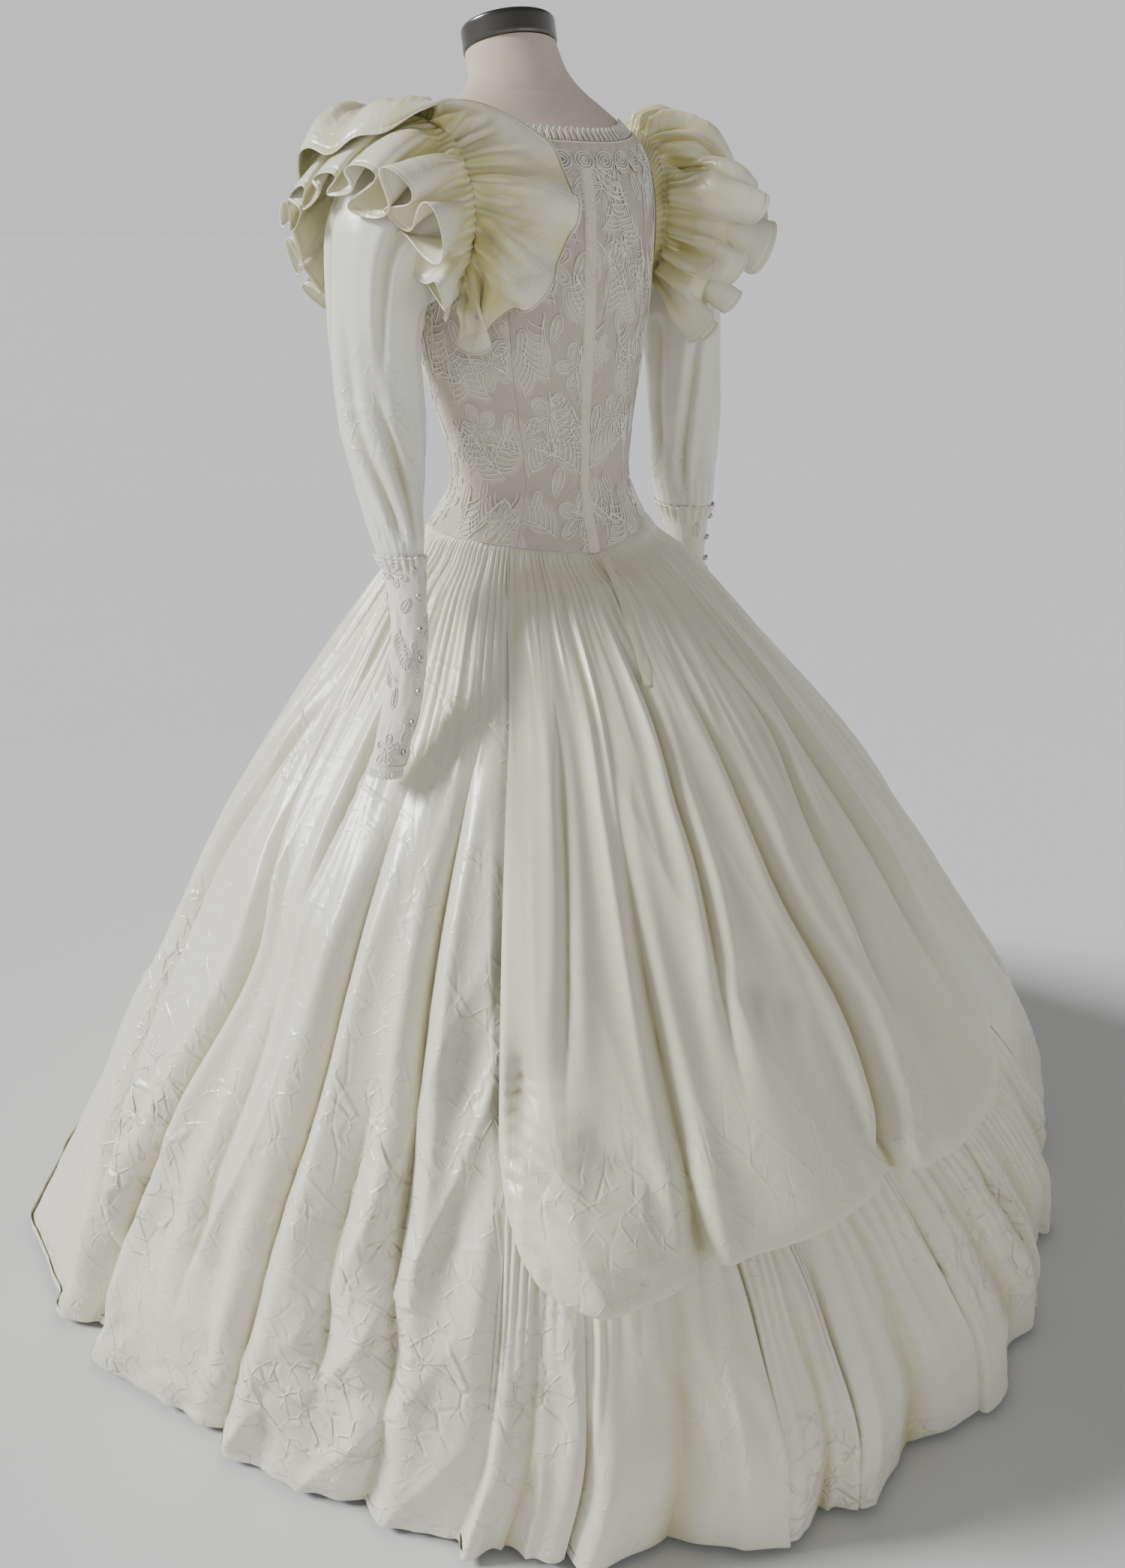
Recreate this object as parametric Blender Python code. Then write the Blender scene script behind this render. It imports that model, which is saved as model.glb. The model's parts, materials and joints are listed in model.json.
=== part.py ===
"""Wedding dress of cream lace and taffeta on a limbless dress form.

Metres, +Z up.  The origin is on the floor under the form's pole.  The dress faces -Y,
its wearer's left is +X, and its centre back is on +Y.
An angle round the body, phi, is in degrees from centre back towards the wearer's left.
"""
import math
import bpy
import numpy as np

# Cloth and seams
CLOTH = 0.0014            # wall of the bodice, sleeves and ruffles
SKIRT_CLOTH = 0.0016      # wall of the skirts
LACE = 0.0011             # wall of the lace trims and cuffs
SEAM_GAP = 0.0003         # space between two pieces at a seam
SKIRT_SEAM = 0.00045      # half of the space between two skirt panels
FLOUNCE_SEAM = 0.0015     # the flounce's share of it, because its rows lie at other heights
EASE = 0.0006             # space between the form and the bodice
HEM_LIFT = 0.010          # hem above the floor

# Dress form
BASE_RADIUS = 0.210
BASE_HEIGHT = 0.014
POLE_RADIUS = 0.0175
CAP_RADIUS = 0.0545
CAP_HEIGHT = 0.026
FORM_COLUMNS = 24
FORM_INSET = 0.0010       # form's surface inside the body sections

# Body sections of the form and the bodice: height, half width, half depth, centre, lean in degrees
BODY_COLUMNS = ("z", "half_width", "half_depth", "centre_y", "lean")
BODY = (
    (0.800, 0.118, 0.095, 0.000, 0),
    (0.815, 0.140, 0.112, 0.000, 0),
    (0.850, 0.160, 0.127, 0.001, 0),
    (0.910, 0.166, 0.132, 0.003, 0),
    (0.950, 0.161, 0.128, 0.004, 0),
    (0.985, 0.152, 0.122, 0.004, 0),
    (1.015, 0.133, 0.108, 0.008, 0),
    (1.050, 0.117, 0.095, 0.012, 0),
    (1.090, 0.119, 0.097, 0.010, 0),
    (1.130, 0.127, 0.103, 0.004, 0),
    (1.175, 0.138, 0.112, -0.002, 0),
    (1.220, 0.146, 0.118, -0.005, 0),
    (1.270, 0.151, 0.118, -0.003, 0),
    (1.345, 0.152, 0.111, 0.003, 0),
    (1.395, 0.148, 0.099, 0.004, 0),
    (1.425, 0.140, 0.086, 0.000, 0),
    (1.445, 0.124, 0.073, -0.006, 0),
    (1.462, 0.100, 0.063, -0.013, 3),
    (1.478, 0.075, 0.056, -0.021, 7),
    (1.495, 0.060, 0.053, -0.030, 10),
    (1.522, 0.054, 0.053, -0.045, 13),
)

# Bodice
WAIST_SIDE_Z = 0.995      # waist seam at the side
WAIST_BACK_Z = 0.973      # waist seam at centre back and centre front
NECK_BACK_Z = 1.420
NECK_FRONT_Z = 1.375
SHOULDER_Z = 1.452        # neckline where it crosses the shoulder
PRINCESS_BACK = 38.0
PRINCESS_FRONT = 145.0
ARMHOLE_Z = 1.345
ARMHOLE_HALF_HEIGHT = 0.075
ARMHOLE_HALF_ANGLE = 25.0
BODICE_SEAM = 0.07        # half of the space between two bodice panels, in degrees
BODICE_ROWS = (1.015, 1.050, 1.090, 1.130, 1.175, 1.220, 1.270, 1.320, 1.370, 1.400, 1.410, 1.420)
SHOULDER_ROWS = (1.428, 1.434, 1.439, 1.444)
UNDERARM_ROWS = (1.277, 1.287, 1.300)

# Skirt sections: height, half width, centre behind the pole, depth over width
SKIRT_COLUMNS = ("z", "half_width", "centre_y", "roundness")
SKIRT = (
    (0.985, 0.152, 0.004, 0.80),
    (0.930, 0.208, 0.012, 0.88),
    (0.850, 0.276, 0.026, 0.96),
    (0.750, 0.361, 0.040, 0.97),
    (0.650, 0.438, 0.055, 0.97),
    (0.550, 0.500, 0.069, 0.97),
    (0.450, 0.562, 0.084, 0.97),
    (0.350, 0.625, 0.088, 0.97),
    (0.250, 0.667, 0.082, 0.97),
    (0.150, 0.706, 0.066, 0.97),
    (0.000, 0.754, 0.012, 0.97),
)
# How far the hem swings out or in from the plain section as it stands on the floor
SWING_COLUMNS = ("phi", "out")
SWING = (
    (-180, 0.005),
    (-140, 0.000),
    (-110, -0.008),
    (-80, 0.006),
    (-63, 0.026),
    (-54, 0.075),
    (-47, 0.016),
    (-40, 0.020),
    (-32, 0.002),
    (-15, 0.030),
    (-3, 0.000),
    (9, 0.012),
    (22, -0.020),
    (41, -0.027),
    (52, -0.046),
    (70, -0.050),
    (79, -0.036),
    (90, -0.010),
    (99, 0.012),
    (108, 0.036),
    (124, 0.016),
    (150, 0.005),
    (180, 0.005),
)
# Where the back's left and right edges run below the waist, in degrees
EDGE_COLUMNS = ("z", "left", "right")
EDGES = (
    (0.000, 41, 50),
    (0.150, 41, 46),
    (0.300, 41, 39),
    (0.450, 41, 32),
    (0.600, 41, 31),
    (0.750, 41, 33),
    (0.850, 41, 37),
    (0.940, 41, 41),
    (0.990, 41, 41),
)
SWING_TOP_Z = 0.410       # the hem's swing fades to nothing at this height
SWING_FADE = 1.3
PANEL_EDGE = 41.0         # where the side panels meet the back at the waist
FRONT_EDGE = 120.0        # where they meet the front panel
GATHERS = {"skirt_left": 20, "skirt_front": 18, "skirt_right": 20}
FOLDS_PER_DEGREE = 0.075
FOLD_PHASE = 40.0
FOLD_DRIFT = ((0.55, 2.3), (0.35, 5.1))
FOLD_TROUGH = 0.35        # share of a fold that lies inside the plain section
EDGE_FADE = 4.0           # degrees over which folds fade towards the back's edge
EDGE_OUT = -0.0065        # where the side panels and the flounce meet at the hem
GATHER_DEPTH = 0.0045
GATHER_OUT = 0.004
FOLD_DEPTH = 0.019
SKIRT_ROWS = (0.055, 0.15, 0.29, 0.48, 0.74, 1.0)
BACK_ROWS = (0.06, 0.18, 0.40, 0.70, 1.0)
BACK_GATHERS = 24
BACK_FOLDS = 7.0
BACK_PHASE = 70.0
GATHER_LENGTH = 0.5       # share of the skirt's length over which the gathers fade
SKIRT_TOP_GAP = 0.0007    # space between the bodice's edge and the skirts
WAIST_OUT = 0.0030        # top of the side and front panels outside the body sections
DRAPE_TOP_OUT = 0.0048    # the same for the back drape, which lies over the back panel
UNDERSKIRT_DEPTH = 0.013  # back panel inside the plain skirt
UNDERSKIRT_FOOT_Z = 0.425
PLACKET_LENGTH = 0.115
PLACKET_SLANT = 7.0
PLACKET_HALF_ANGLE = 1.6
PLACKET_OUT = 0.0114

# Flounce under the drape
FLOUNCE_TOP_Z = 0.450
FLOUNCE_FOLDS = 13
FLOUNCE_FOLD_COLUMNS = 6
FLOUNCE_DEPTH = 0.024
FLOUNCE_PHASE = 15.0
FLOUNCE_ROWS = (0.0, 0.2, 0.5, 1.0)

# Lower edge of the back drape: angle, height of the edge, how far the pouch stands out
DRAPE_COLUMNS = ("phi", "edge_z", "pouch")
DRAPE_EDGE = (
    (-41.0, 0.500, 0.018),
    (-36.5, 0.452, 0.030),
    (-31.0, 0.408, 0.040),
    (-25.0, 0.388, 0.042),
    (-17.0, 0.388, 0.036),
    (-9.0, 0.414, 0.024),
    (-2.0, 0.396, 0.030),
    (8.0, 0.376, 0.040),
    (18.0, 0.370, 0.036),
    (24.0, 0.374, 0.036),
    (31.0, 0.384, 0.044),
    (36.5, 0.412, 0.040),
    (41.0, 0.470, 0.018),
)
DRAPE_ROWS = (0.10, 0.27, 0.47, 0.67, 0.85)
DRAPE_FOLD = 0.016
DRAPE_OUT = 0.003
DRAPE_SWELL_START = 0.3   # share of the drape's length above its pouch
DRAPE_SWELL_POWER = 1.6
DRAPE_TURN_UNDER = 0.030
DRAPE_FULL_POUCH = 0.034  # a pouch this deep is turned under in full

# Ring round each sleeve head where the ruffle's strip is gathered, as a sleeve ring
LEFT_RING = (0.1590, 0.000, 1.349, 0, 0.0933, 0.1060, 8)
RIGHT_RING = (0.1590, -0.018, 1.349, 0, 0.0933, 0.0670, 0)
OUTER_SEAT = 0.0006       # the two halves' roots outside that ring
INNER_SEAT = 0.0026
ROOT_SHIFT = 0.0006       # and to each side of the gathering line
RUFFLE_REACH = 138.0      # the strip ends this far round from the top
RUFFLE_WAVES = 10
INNER_PHASE = 0.4
OUTER_PHASE = 2.1
RUFFLE_ROWS = (0.0, 0.22, 0.60, 1.0)
RUFFLE_COLUMNS = ("psi", "edge_x", "edge_y", "edge_z", "lift", "wave")
LEFT_INNER = (
    (138, 0.152, 0.070, 1.212, 0.006, 0.004),
    (122, 0.128, 0.108, 1.226, 0.010, 0.006),
    (106, 0.088, 0.130, 1.262, 0.012, 0.006),
    (88, 0.044, 0.138, 1.318, 0.010, 0.005),
    (68, 0.030, 0.132, 1.368, 0.010, 0.005),
    (62, 0.030, 0.118, 1.394, 0.004, 0.003),
    (52, 0.046, 0.098, 1.425, 0.006, 0.000),
    (42, 0.080, 0.076, 1.446, 0.006, 0.000),
    (30, 0.130, 0.064, 1.459, 0.006, 0.000),
    (18, 0.178, 0.066, 1.446, 0.012, 0.000),
    (4, 0.220, 0.050, 1.424, 0.026, 0.001),
    (-16, 0.256, 0.006, 1.414, 0.030, 0.003),
    (-40, 0.264, -0.070, 1.396, 0.030, 0.005),
    (-75, 0.190, -0.155, 1.340, 0.024, 0.006),
    (-110, 0.110, -0.140, 1.255, 0.014, 0.006),
    (-138, 0.150, -0.085, 1.205, 0.008, 0.004),
)
LEFT_OUTER = (
    (138, 0.176, 0.092, 1.252, 0.004, 0.006),
    (112, 0.205, 0.112, 1.285, 0.006, 0.011),
    (80, 0.222, 0.112, 1.345, 0.006, 0.012),
    (45, 0.246, 0.078, 1.372, 0.014, 0.010),
    (10, 0.268, 0.018, 1.378, 0.018, 0.007),
    (-25, 0.276, -0.045, 1.362, 0.018, 0.007),
    (-60, 0.266, -0.106, 1.335, 0.004, 0.010),
    (-100, 0.236, -0.120, 1.270, 0.004, 0.010),
    (-138, 0.176, -0.090, 1.235, 0.004, 0.006),
)
RIGHT_INNER = (
    (138, 0.168, 0.098, 1.222, 0.010, 0.005),
    (112, 0.190, 0.128, 1.280, 0.016, 0.009),
    (80, 0.212, 0.136, 1.345, 0.020, 0.010),
    (45, 0.236, 0.092, 1.370, 0.026, 0.007),
    (10, 0.256, 0.026, 1.394, 0.034, 0.005),
    (-25, 0.262, -0.045, 1.384, 0.034, 0.005),
    (-60, 0.250, -0.125, 1.350, 0.024, 0.008),
    (-100, 0.200, -0.142, 1.262, 0.014, 0.008),
    (-138, 0.168, -0.098, 1.215, 0.010, 0.005),
)
RIGHT_OUTER = (
    (138, 0.190, 0.088, 1.222, 0.004, 0.005),
    (112, 0.222, 0.106, 1.262, 0.004, 0.008),
    (80, 0.248, 0.104, 1.318, 0.008, 0.009),
    (45, 0.264, 0.072, 1.344, 0.014, 0.008),
    (10, 0.274, 0.014, 1.360, 0.016, 0.005),
    (-25, 0.274, -0.040, 1.350, 0.016, 0.005),
    (-60, 0.270, -0.090, 1.322, 0.008, 0.008),
    (-100, 0.236, -0.100, 1.258, 0.002, 0.008),
    (-138, 0.196, -0.070, 1.225, 0.002, 0.005),
)

# Sleeves: ring centre, lean of the ring from upright to level, half sizes, turn in plan
SLEEVE_SIDES = 16
SLEEVE_COLUMNS = ("x", "y", "z", "tilt", "half_out", "half_along", "turn")
LEFT_SLEEVE = (
    (0.1615, 0.000, 1.349, 1, 0.0913, 0.1042, 8),
    (0.189, 0.000, 1.330, 16, 0.0830, 0.0890, 4),
    (0.211, 0.003, 1.295, 35, 0.0720, 0.0790, 0),
    (0.221, 0.008, 1.246, 59, 0.0520, 0.0700, 0),
    (0.228, 0.018, 1.175, 84, 0.0450, 0.0660, 2),
    (0.233, 0.036, 1.120, 90, 0.0430, 0.0610, 6),
    (0.239, 0.060, 1.068, 88, 0.0360, 0.0480, 12),
    (0.247, 0.094, 0.996, 86, 0.0220, 0.0290, 22),
)
RIGHT_SLEEVE = (
    (0.1615, -0.018, 1.349, 1, 0.0913, 0.0650, 0),
    (0.189, -0.016, 1.330, 16, 0.0820, 0.0630, 0),
    (0.211, -0.003, 1.295, 35, 0.0720, 0.0670, 0),
    (0.216, 0.010, 1.246, 59, 0.0460, 0.0650, 0),
    (0.217, 0.020, 1.175, 84, 0.0360, 0.0620, 0),
    (0.221, 0.024, 1.105, 90, 0.0350, 0.0600, 0),
    (0.230, 0.018, 1.045, 90, 0.0370, 0.0540, -4),
    (0.244, 0.006, 0.985, 92, 0.0310, 0.0440, -8),
)
CUFF_SEAM = 0.0008        # space between the sleeve's edge and the cuff
ARMHOLE_CLEAR = 0.0015    # space between the bodice and the sleeve head
LEFT_CUFF = (
    (0.262, 0.135, 0.958, 76, 0.0165, 0.0240, 26),
    (0.275, 0.160, 0.918, 76, 0.0160, 0.0215, 28),
    (0.290, 0.175, 0.876, 80, 0.0160, 0.0225, 30),
    (0.308, 0.186, 0.834, 78, 0.0155, 0.0215, 30),
    (0.330, 0.198, 0.790, 78, 0.0165, 0.0190, 30),
)
RIGHT_CUFF = (
    (0.260, -0.006, 0.942, 78, 0.0240, 0.0330, -8),
    (0.283, -0.020, 0.890, 68, 0.0165, 0.0240, -8),
    (0.316, -0.031, 0.842, 64, 0.0160, 0.0230, -8),
    (0.352, -0.040, 0.796, 62, 0.0155, 0.0215, -8),
    (0.388, -0.046, 0.754, 62, 0.0165, 0.0190, -8),
)
BUTTONS_PER_CUFF = 7
BUTTON_RADIUS = 0.0043
BUTTON_HEIGHT = 0.0034
BUTTON_SIDES = 6
BUTTON_CLEAR = 0.0004
BUTTON_START = 0.016      # first and last button from the cuff's ends
BUTTON_END = 0.022
LEFT_BUTTON_TURN = 62.0
RIGHT_BUTTON_TURN = 72.0

# Zip lap, skirt placket and neck lace
LAP_HALF_ANGLE = 3.3
LAP_CLEAR = 0.0004
NECK_LACE_DEPTH = 0.034
NECK_LACE_STAND = 0.010
NECK_TONGUES = 9          # on the back, and as many on the front
NECK_TONGUE_COLUMNS = 2
# Neck lace: node, first and last angle, space between it and the bodice
NECK_LACES = (
    ("neck_lace_back", -50.0, 50.0, 0.0018),
    ("neck_lace_front", 130.0, 230.0, 0.0011),
)
NECK_LACE_ROWS = (0.0, 0.35, 0.70, 1.0)


def clear_scene():
    for item in list(bpy.data.objects):
        bpy.data.objects.remove(item, do_unlink=True)


def read_table(rows, columns, key_column, key, wanted):
    """Smooth value of one column of a table at a key."""
    order = sorted(rows, key=lambda row: row[columns.index(key_column)])
    keys = [row[columns.index(key_column)] for row in order]
    values = [row[columns.index(wanted)] for row in order]
    slopes = []
    last = len(keys) - 1
    for index in range(len(keys)):
        before = max(index - 1, 0)
        after = min(index + 1, last)
        slopes.append((values[after] - values[before]) / (keys[after] - keys[before]))
    key = min(max(key, keys[0]), keys[-1])
    cell = min(max(int(np.searchsorted(keys, key)) - 1, 0), last - 1)
    width = keys[cell + 1] - keys[cell]
    t = (key - keys[cell]) / width
    rise = (2 * t**3 - 3 * t**2 + 1) * values[cell] + (3 * t**2 - 2 * t**3) * values[cell + 1]
    bend = (t**3 - 2 * t**2 + t) * slopes[cell] + (t**3 - t**2) * slopes[cell + 1]
    return rise + bend * width


def cloth_material(name, colour, roughness, metallic=0.0):
    material = bpy.data.materials.new(name)
    material.use_nodes = True
    shader = material.node_tree.nodes["Principled BSDF"]
    shader.inputs["Base Color"].default_value = (*colour, 1.0)
    shader.inputs["Roughness"].default_value = roughness
    shader.inputs["Metallic"].default_value = metallic
    return material


MATERIALS = {
    "taffeta": ((0.84, 0.82, 0.70), 0.38, 0.0),
    "lace": ((0.72, 0.68, 0.58), 0.75, 0.0),
    "form_jersey": ((0.66, 0.57, 0.49), 0.85, 0.0),
    "brushed_steel": ((0.30, 0.29, 0.28), 0.30, 1.0),
    "painted_steel": ((0.10, 0.10, 0.10), 0.45, 0.6),
    "button": ((0.70, 0.70, 0.70), 0.30, 0.6),
}


def add_mesh(name, points, faces, material, smooth=True):
    mesh = bpy.data.meshes.new(name)
    mesh.from_pydata([tuple(point) for point in points], [], faces)
    mesh.update()
    if smooth:
        mesh.shade_smooth()
        mesh.set_sharp_from_angle(angle=math.radians(50))
    item = bpy.data.objects.new(name, mesh)
    bpy.context.scene.collection.objects.link(item)
    item.data.materials.append(cloth_material(name, *MATERIALS[material]))
    return item


def add_wall(name, outer, inner, material, closed=False):
    """A cloth wall between two grids of points, outer[column][row] and inner[column][row]."""
    outer = np.asarray(outer, float)
    inner = np.asarray(inner, float)
    columns, rows = outer.shape[:2]
    points = np.concatenate([outer.reshape(-1, 3), inner.reshape(-1, 3)])
    back = columns * rows
    faces = []
    spans = columns if closed else columns - 1

    def at(column, row):
        return (column % columns) * rows + row

    for column in range(spans):
        for row in range(rows - 1):
            a, b = at(column, row), at(column + 1, row)
            c, d = at(column + 1, row + 1), at(column, row + 1)
            faces.append((a, b, c, d))
            faces.append((back + d, back + c, back + b, back + a))
        a, b = at(column, 0), at(column + 1, 0)
        faces.append((b, a, back + a, back + b))
        c, d = at(column, rows - 1), at(column + 1, rows - 1)
        faces.append((c, d, back + d, back + c))
    if not closed:
        for row in range(rows - 1):
            a, d = at(0, row), at(0, row + 1)
            faces.append((a, d, back + d, back + a))
            b, c = at(columns - 1, row), at(columns - 1, row + 1)
            faces.append((c, b, back + b, back + c))
    item = add_mesh(name, points, faces, material)
    face_outwards(item.data)
    return item


def wall_normals(points, closed=False):
    """Unit normals of a grid of points, columns by rows."""
    points = np.asarray(points, float)
    if closed:
        along = np.roll(points, -1, axis=0) - np.roll(points, 1, axis=0)
    else:
        along = np.gradient(points, axis=0)
    normals = np.cross(along, np.gradient(points, axis=1))
    return normals / np.linalg.norm(normals, axis=2, keepdims=True)


def face_outwards(mesh):
    """Turn a closed mesh's faces out if its volume is negative."""
    volume = 0.0
    for polygon in mesh.polygons:
        corners = [mesh.vertices[index].co for index in polygon.vertices]
        for second in range(1, len(corners) - 1):
            volume += corners[0].dot(corners[second].cross(corners[second + 1]))
    if volume < 0.0:
        mesh.flip_normals()


def stack_rings(name, rings, material):
    """A solid through closed rings of equal count, with flat ends."""
    count = len(rings[0])
    points = [point for ring in rings for point in ring]
    faces = []
    for level in range(len(rings) - 1):
        for side in range(count):
            a = level * count + side
            b = level * count + (side + 1) % count
            faces.append((a, b, b + count, a + count))
    faces.append(tuple(reversed(range(count))))
    faces.append(tuple(range((len(rings) - 1) * count, len(rings) * count)))
    item = add_mesh(name, points, faces, material)
    face_outwards(item.data)
    return item


def body_point(phi, z, out=0.0):
    """A point on the body section at height z, moved out from it."""
    turn = math.radians(phi)
    wide = read_table(BODY, BODY_COLUMNS, "z", z, "half_width") + out
    deep = read_table(BODY, BODY_COLUMNS, "z", z, "half_depth") + out
    centre = read_table(BODY, BODY_COLUMNS, "z", z, "centre_y")
    lean = math.radians(read_table(BODY, BODY_COLUMNS, "z", z, "lean"))
    back = deep * math.cos(turn)
    return (wide * math.sin(turn), centre + back * math.cos(lean), z + back * math.sin(lean))


def swing(phi, z):
    """How far the skirt swings out from its plain section."""
    if z >= SWING_TOP_Z:
        return 0.0
    hem = read_table(SWING, SWING_COLUMNS, "phi", (phi + 180.0) % 360.0 - 180.0, "out")
    return hem * (1.0 - z / SWING_TOP_Z) ** SWING_FADE


def skirt_point(phi, z, out=0.0):
    """A point on the skirt at height z, moved out level."""
    turn = math.radians(phi)
    out = out + swing(phi, z)
    half_width = read_table(SKIRT, SKIRT_COLUMNS, "z", z, "half_width")
    half_depth = half_width * read_table(SKIRT, SKIRT_COLUMNS, "z", z, "roundness")
    centre = read_table(SKIRT, SKIRT_COLUMNS, "z", z, "centre_y")
    x = (half_width + out) * math.sin(turn)
    y = centre + (half_depth + out) * math.cos(turn)
    return (x, y, z)


def waist_z(phi):
    """Waist seam: highest at the sides, a shallow point at centre back and front."""
    return WAIST_BACK_Z + (WAIST_SIDE_Z - WAIST_BACK_Z) * abs(math.sin(math.radians(phi)))


def neck_z(phi):
    """Neckline height round the body."""
    side = abs(math.sin(math.radians(phi))) ** 3
    low = NECK_BACK_Z if math.cos(math.radians(phi)) > 0 else NECK_FRONT_Z
    return low + (SHOULDER_Z - low) * side


def panel_heights(phi, rows):
    """Heights of a bodice panel's points: the waist seam, one row above it, then the plain rows."""
    return [waist_z(phi), (waist_z(phi) + rows[0]) / 2.0] + list(rows)


def thicken_in_plane(angles, column, wall):
    """Points moved in by a wall, square to a column that runs down the skirt."""
    column = np.asarray(column, float)
    moved = []
    for row, phi in enumerate(angles):
        turn = math.radians(phi)
        outward = np.array([math.sin(turn), math.cos(turn), 0.0])
        run = column[min(row + 1, len(column) - 1)] - column[max(row - 1, 0)]
        along = run @ outward
        size = math.hypot(along, run[2])
        normal = outward * (-run[2] / size) + np.array([0.0, 0.0, along / size])
        moved.append(column[row] - normal * wall)
    return moved


def fold_wave(phi, folds_per_degree, phase):
    """Uneven soft fold, from 0 in a trough to 1 on a ridge."""
    drift = sum(size * math.sin(math.radians(rate * phi + phase)) for size, rate in FOLD_DRIFT)
    angle = 2 * math.pi * phi * folds_per_degree + drift + math.radians(phase)
    return 0.5 + 0.5 * math.cos(angle)


def form_torso():
    below = [row[0] for row in BODY if row[0] < WAIST_BACK_Z]
    above = [row[0] for row in BODY if row[0] > SHOULDER_ROWS[-1] + 0.005]
    heights = below + panel_heights(0.0, BODICE_ROWS + SHOULDER_ROWS) + above
    rings = []
    for z in heights:
        angles = [360.0 * side / FORM_COLUMNS for side in range(FORM_COLUMNS)]
        rings.append([body_point(phi, z, -FORM_INSET) for phi in angles])
    stack_rings("form_torso", rings, "form_jersey")


def form_neck_cap():
    """Brushed disc that closes the neck, square to its lean."""
    lean = math.radians(BODY[-1][4])
    centre = np.array([0.0, BODY[-1][3], BODY[-1][0]])
    up = np.array([0.0, -math.sin(lean), math.cos(lean)])
    back = np.array([0.0, math.cos(lean), math.sin(lean)])
    profile = ((0.0, CAP_RADIUS - 0.0012), (0.0012, CAP_RADIUS), (CAP_HEIGHT - 0.004, CAP_RADIUS),
               (CAP_HEIGHT - 0.0012, CAP_RADIUS - 0.0013), (CAP_HEIGHT, CAP_RADIUS - 0.004))
    rings = []
    for height, radius in profile:
        level = centre + up * (height + SEAM_GAP)
        ring = []
        for side in range(FORM_COLUMNS):
            turn = 2 * math.pi * side / FORM_COLUMNS
            flat = back * (radius * math.cos(turn))
            ring.append(level + flat + np.array([radius * math.sin(turn), 0.0, 0.0]))
        rings.append(ring)
    stack_rings("form_neck_cap", rings, "brushed_steel")


def round_solid(name, profile, sides, material):
    rings = []
    for z, radius in profile:
        ring = []
        for side in range(sides):
            turn = 2 * math.pi * side / sides
            ring.append((radius * math.sin(turn), radius * math.cos(turn), z))
        rings.append(ring)
    stack_rings(name, rings, material)


def form_stand():
    base = ((0.0, BASE_RADIUS), (BASE_HEIGHT * 0.7, BASE_RADIUS), (BASE_HEIGHT, BASE_RADIUS - 0.006))
    round_solid("form_base", base, 40, "painted_steel")
    pole = ((BASE_HEIGHT + SEAM_GAP, POLE_RADIUS), (BODY[0][0] - SEAM_GAP, POLE_RADIUS))
    round_solid("form_pole", pole, 20, "painted_steel")


def armhole_angle(z):
    """How far the armhole cuts into a side panel, in degrees from the side seam."""
    share = (z - ARMHOLE_Z) / ARMHOLE_HALF_HEIGHT
    if abs(share) >= 1.0:
        return 0.0
    return ARMHOLE_HALF_ANGLE * math.sqrt(1.0 - share * share)


def bodice_panel(name, first, last, rows, columns, sign=1.0):
    """A panel between two boundaries, each a function of height that gives an angle."""
    outer = []
    inner = []
    for index in range(columns + 1):
        share = index / columns
        outer_column = []
        inner_column = []
        for row, level in enumerate((rows[0], rows[0]) + rows):
            phi = first(level) + (last(level) - first(level)) * share
            z = panel_heights(phi, rows)[row]
            outer_column.append(body_point(sign * phi, z, EASE + CLOTH))
            inner_column.append(body_point(sign * phi, z, EASE))
        outer.append(outer_column)
        inner.append(inner_column)
    add_wall(name, outer, inner, "lace")


def neckline_angle(z, low):
    """Angle from the panel's middle at which the neckline passes a height, or 0 below it."""
    if z <= low:
        return 0.0
    share = min((z - low) / (SHOULDER_Z - low), 0.98)
    return math.degrees(math.asin(share ** (1.0 / 3.0)))


def centre_back_edge(z):
    return BODICE_SEAM


def princess_back_centre(z):
    return PRINCESS_BACK - BODICE_SEAM


def princess_back_side(z):
    return max(neckline_angle(z, NECK_BACK_Z), PRINCESS_BACK) + BODICE_SEAM


def side_seam_back(z):
    return 90.0 - BODICE_SEAM - armhole_angle(z)


def side_seam_front(z):
    return 90.0 + BODICE_SEAM + armhole_angle(z)


def princess_front_side(z):
    return min(180.0 - neckline_angle(z, NECK_FRONT_Z), PRINCESS_FRONT) - BODICE_SEAM


def princess_front_left(z):
    return PRINCESS_FRONT + BODICE_SEAM


def princess_front_right(z):
    return 360.0 - PRINCESS_FRONT - BODICE_SEAM


def bodice():
    rows = tuple(sorted(BODICE_ROWS + UNDERARM_ROWS + SHOULDER_ROWS))
    for side, sign in (("left", 1.0), ("right", -1.0)):
        bodice_panel("bodice_centre_back_" + side, centre_back_edge, princess_back_centre,
                     BODICE_ROWS, 5, sign)
        bodice_panel("bodice_side_back_" + side, princess_back_side, side_seam_back, rows, 6, sign)
        bodice_panel("bodice_side_front_" + side, side_seam_front, princess_front_side, rows, 6, sign)
    front_rows = tuple(z for z in BODICE_ROWS if z < NECK_FRONT_Z - 0.02) + (NECK_FRONT_Z,)
    bodice_panel("bodice_centre_front", princess_front_left, princess_front_right, front_rows, 10)


def zip_lap():
    """Folded strip over the zip at centre back."""
    top = NECK_BACK_Z - NECK_LACE_DEPTH
    rows = panel_heights(LAP_HALF_ANGLE, [z for z in BODICE_ROWS if z < top] + [top])
    out = EASE + CLOTH + LAP_CLEAR
    phis = [LAP_HALF_ANGLE * share for share in (-1.0, -0.5, 0.0, 0.5, 1.0)]
    outer = [[body_point(phi, z, out + CLOTH) for z in rows] for phi in phis]
    inner = [[body_point(phi, z, out) for z in rows] for phi in phis]
    add_wall("zip_lap", outer, inner, "taffeta")


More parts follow.
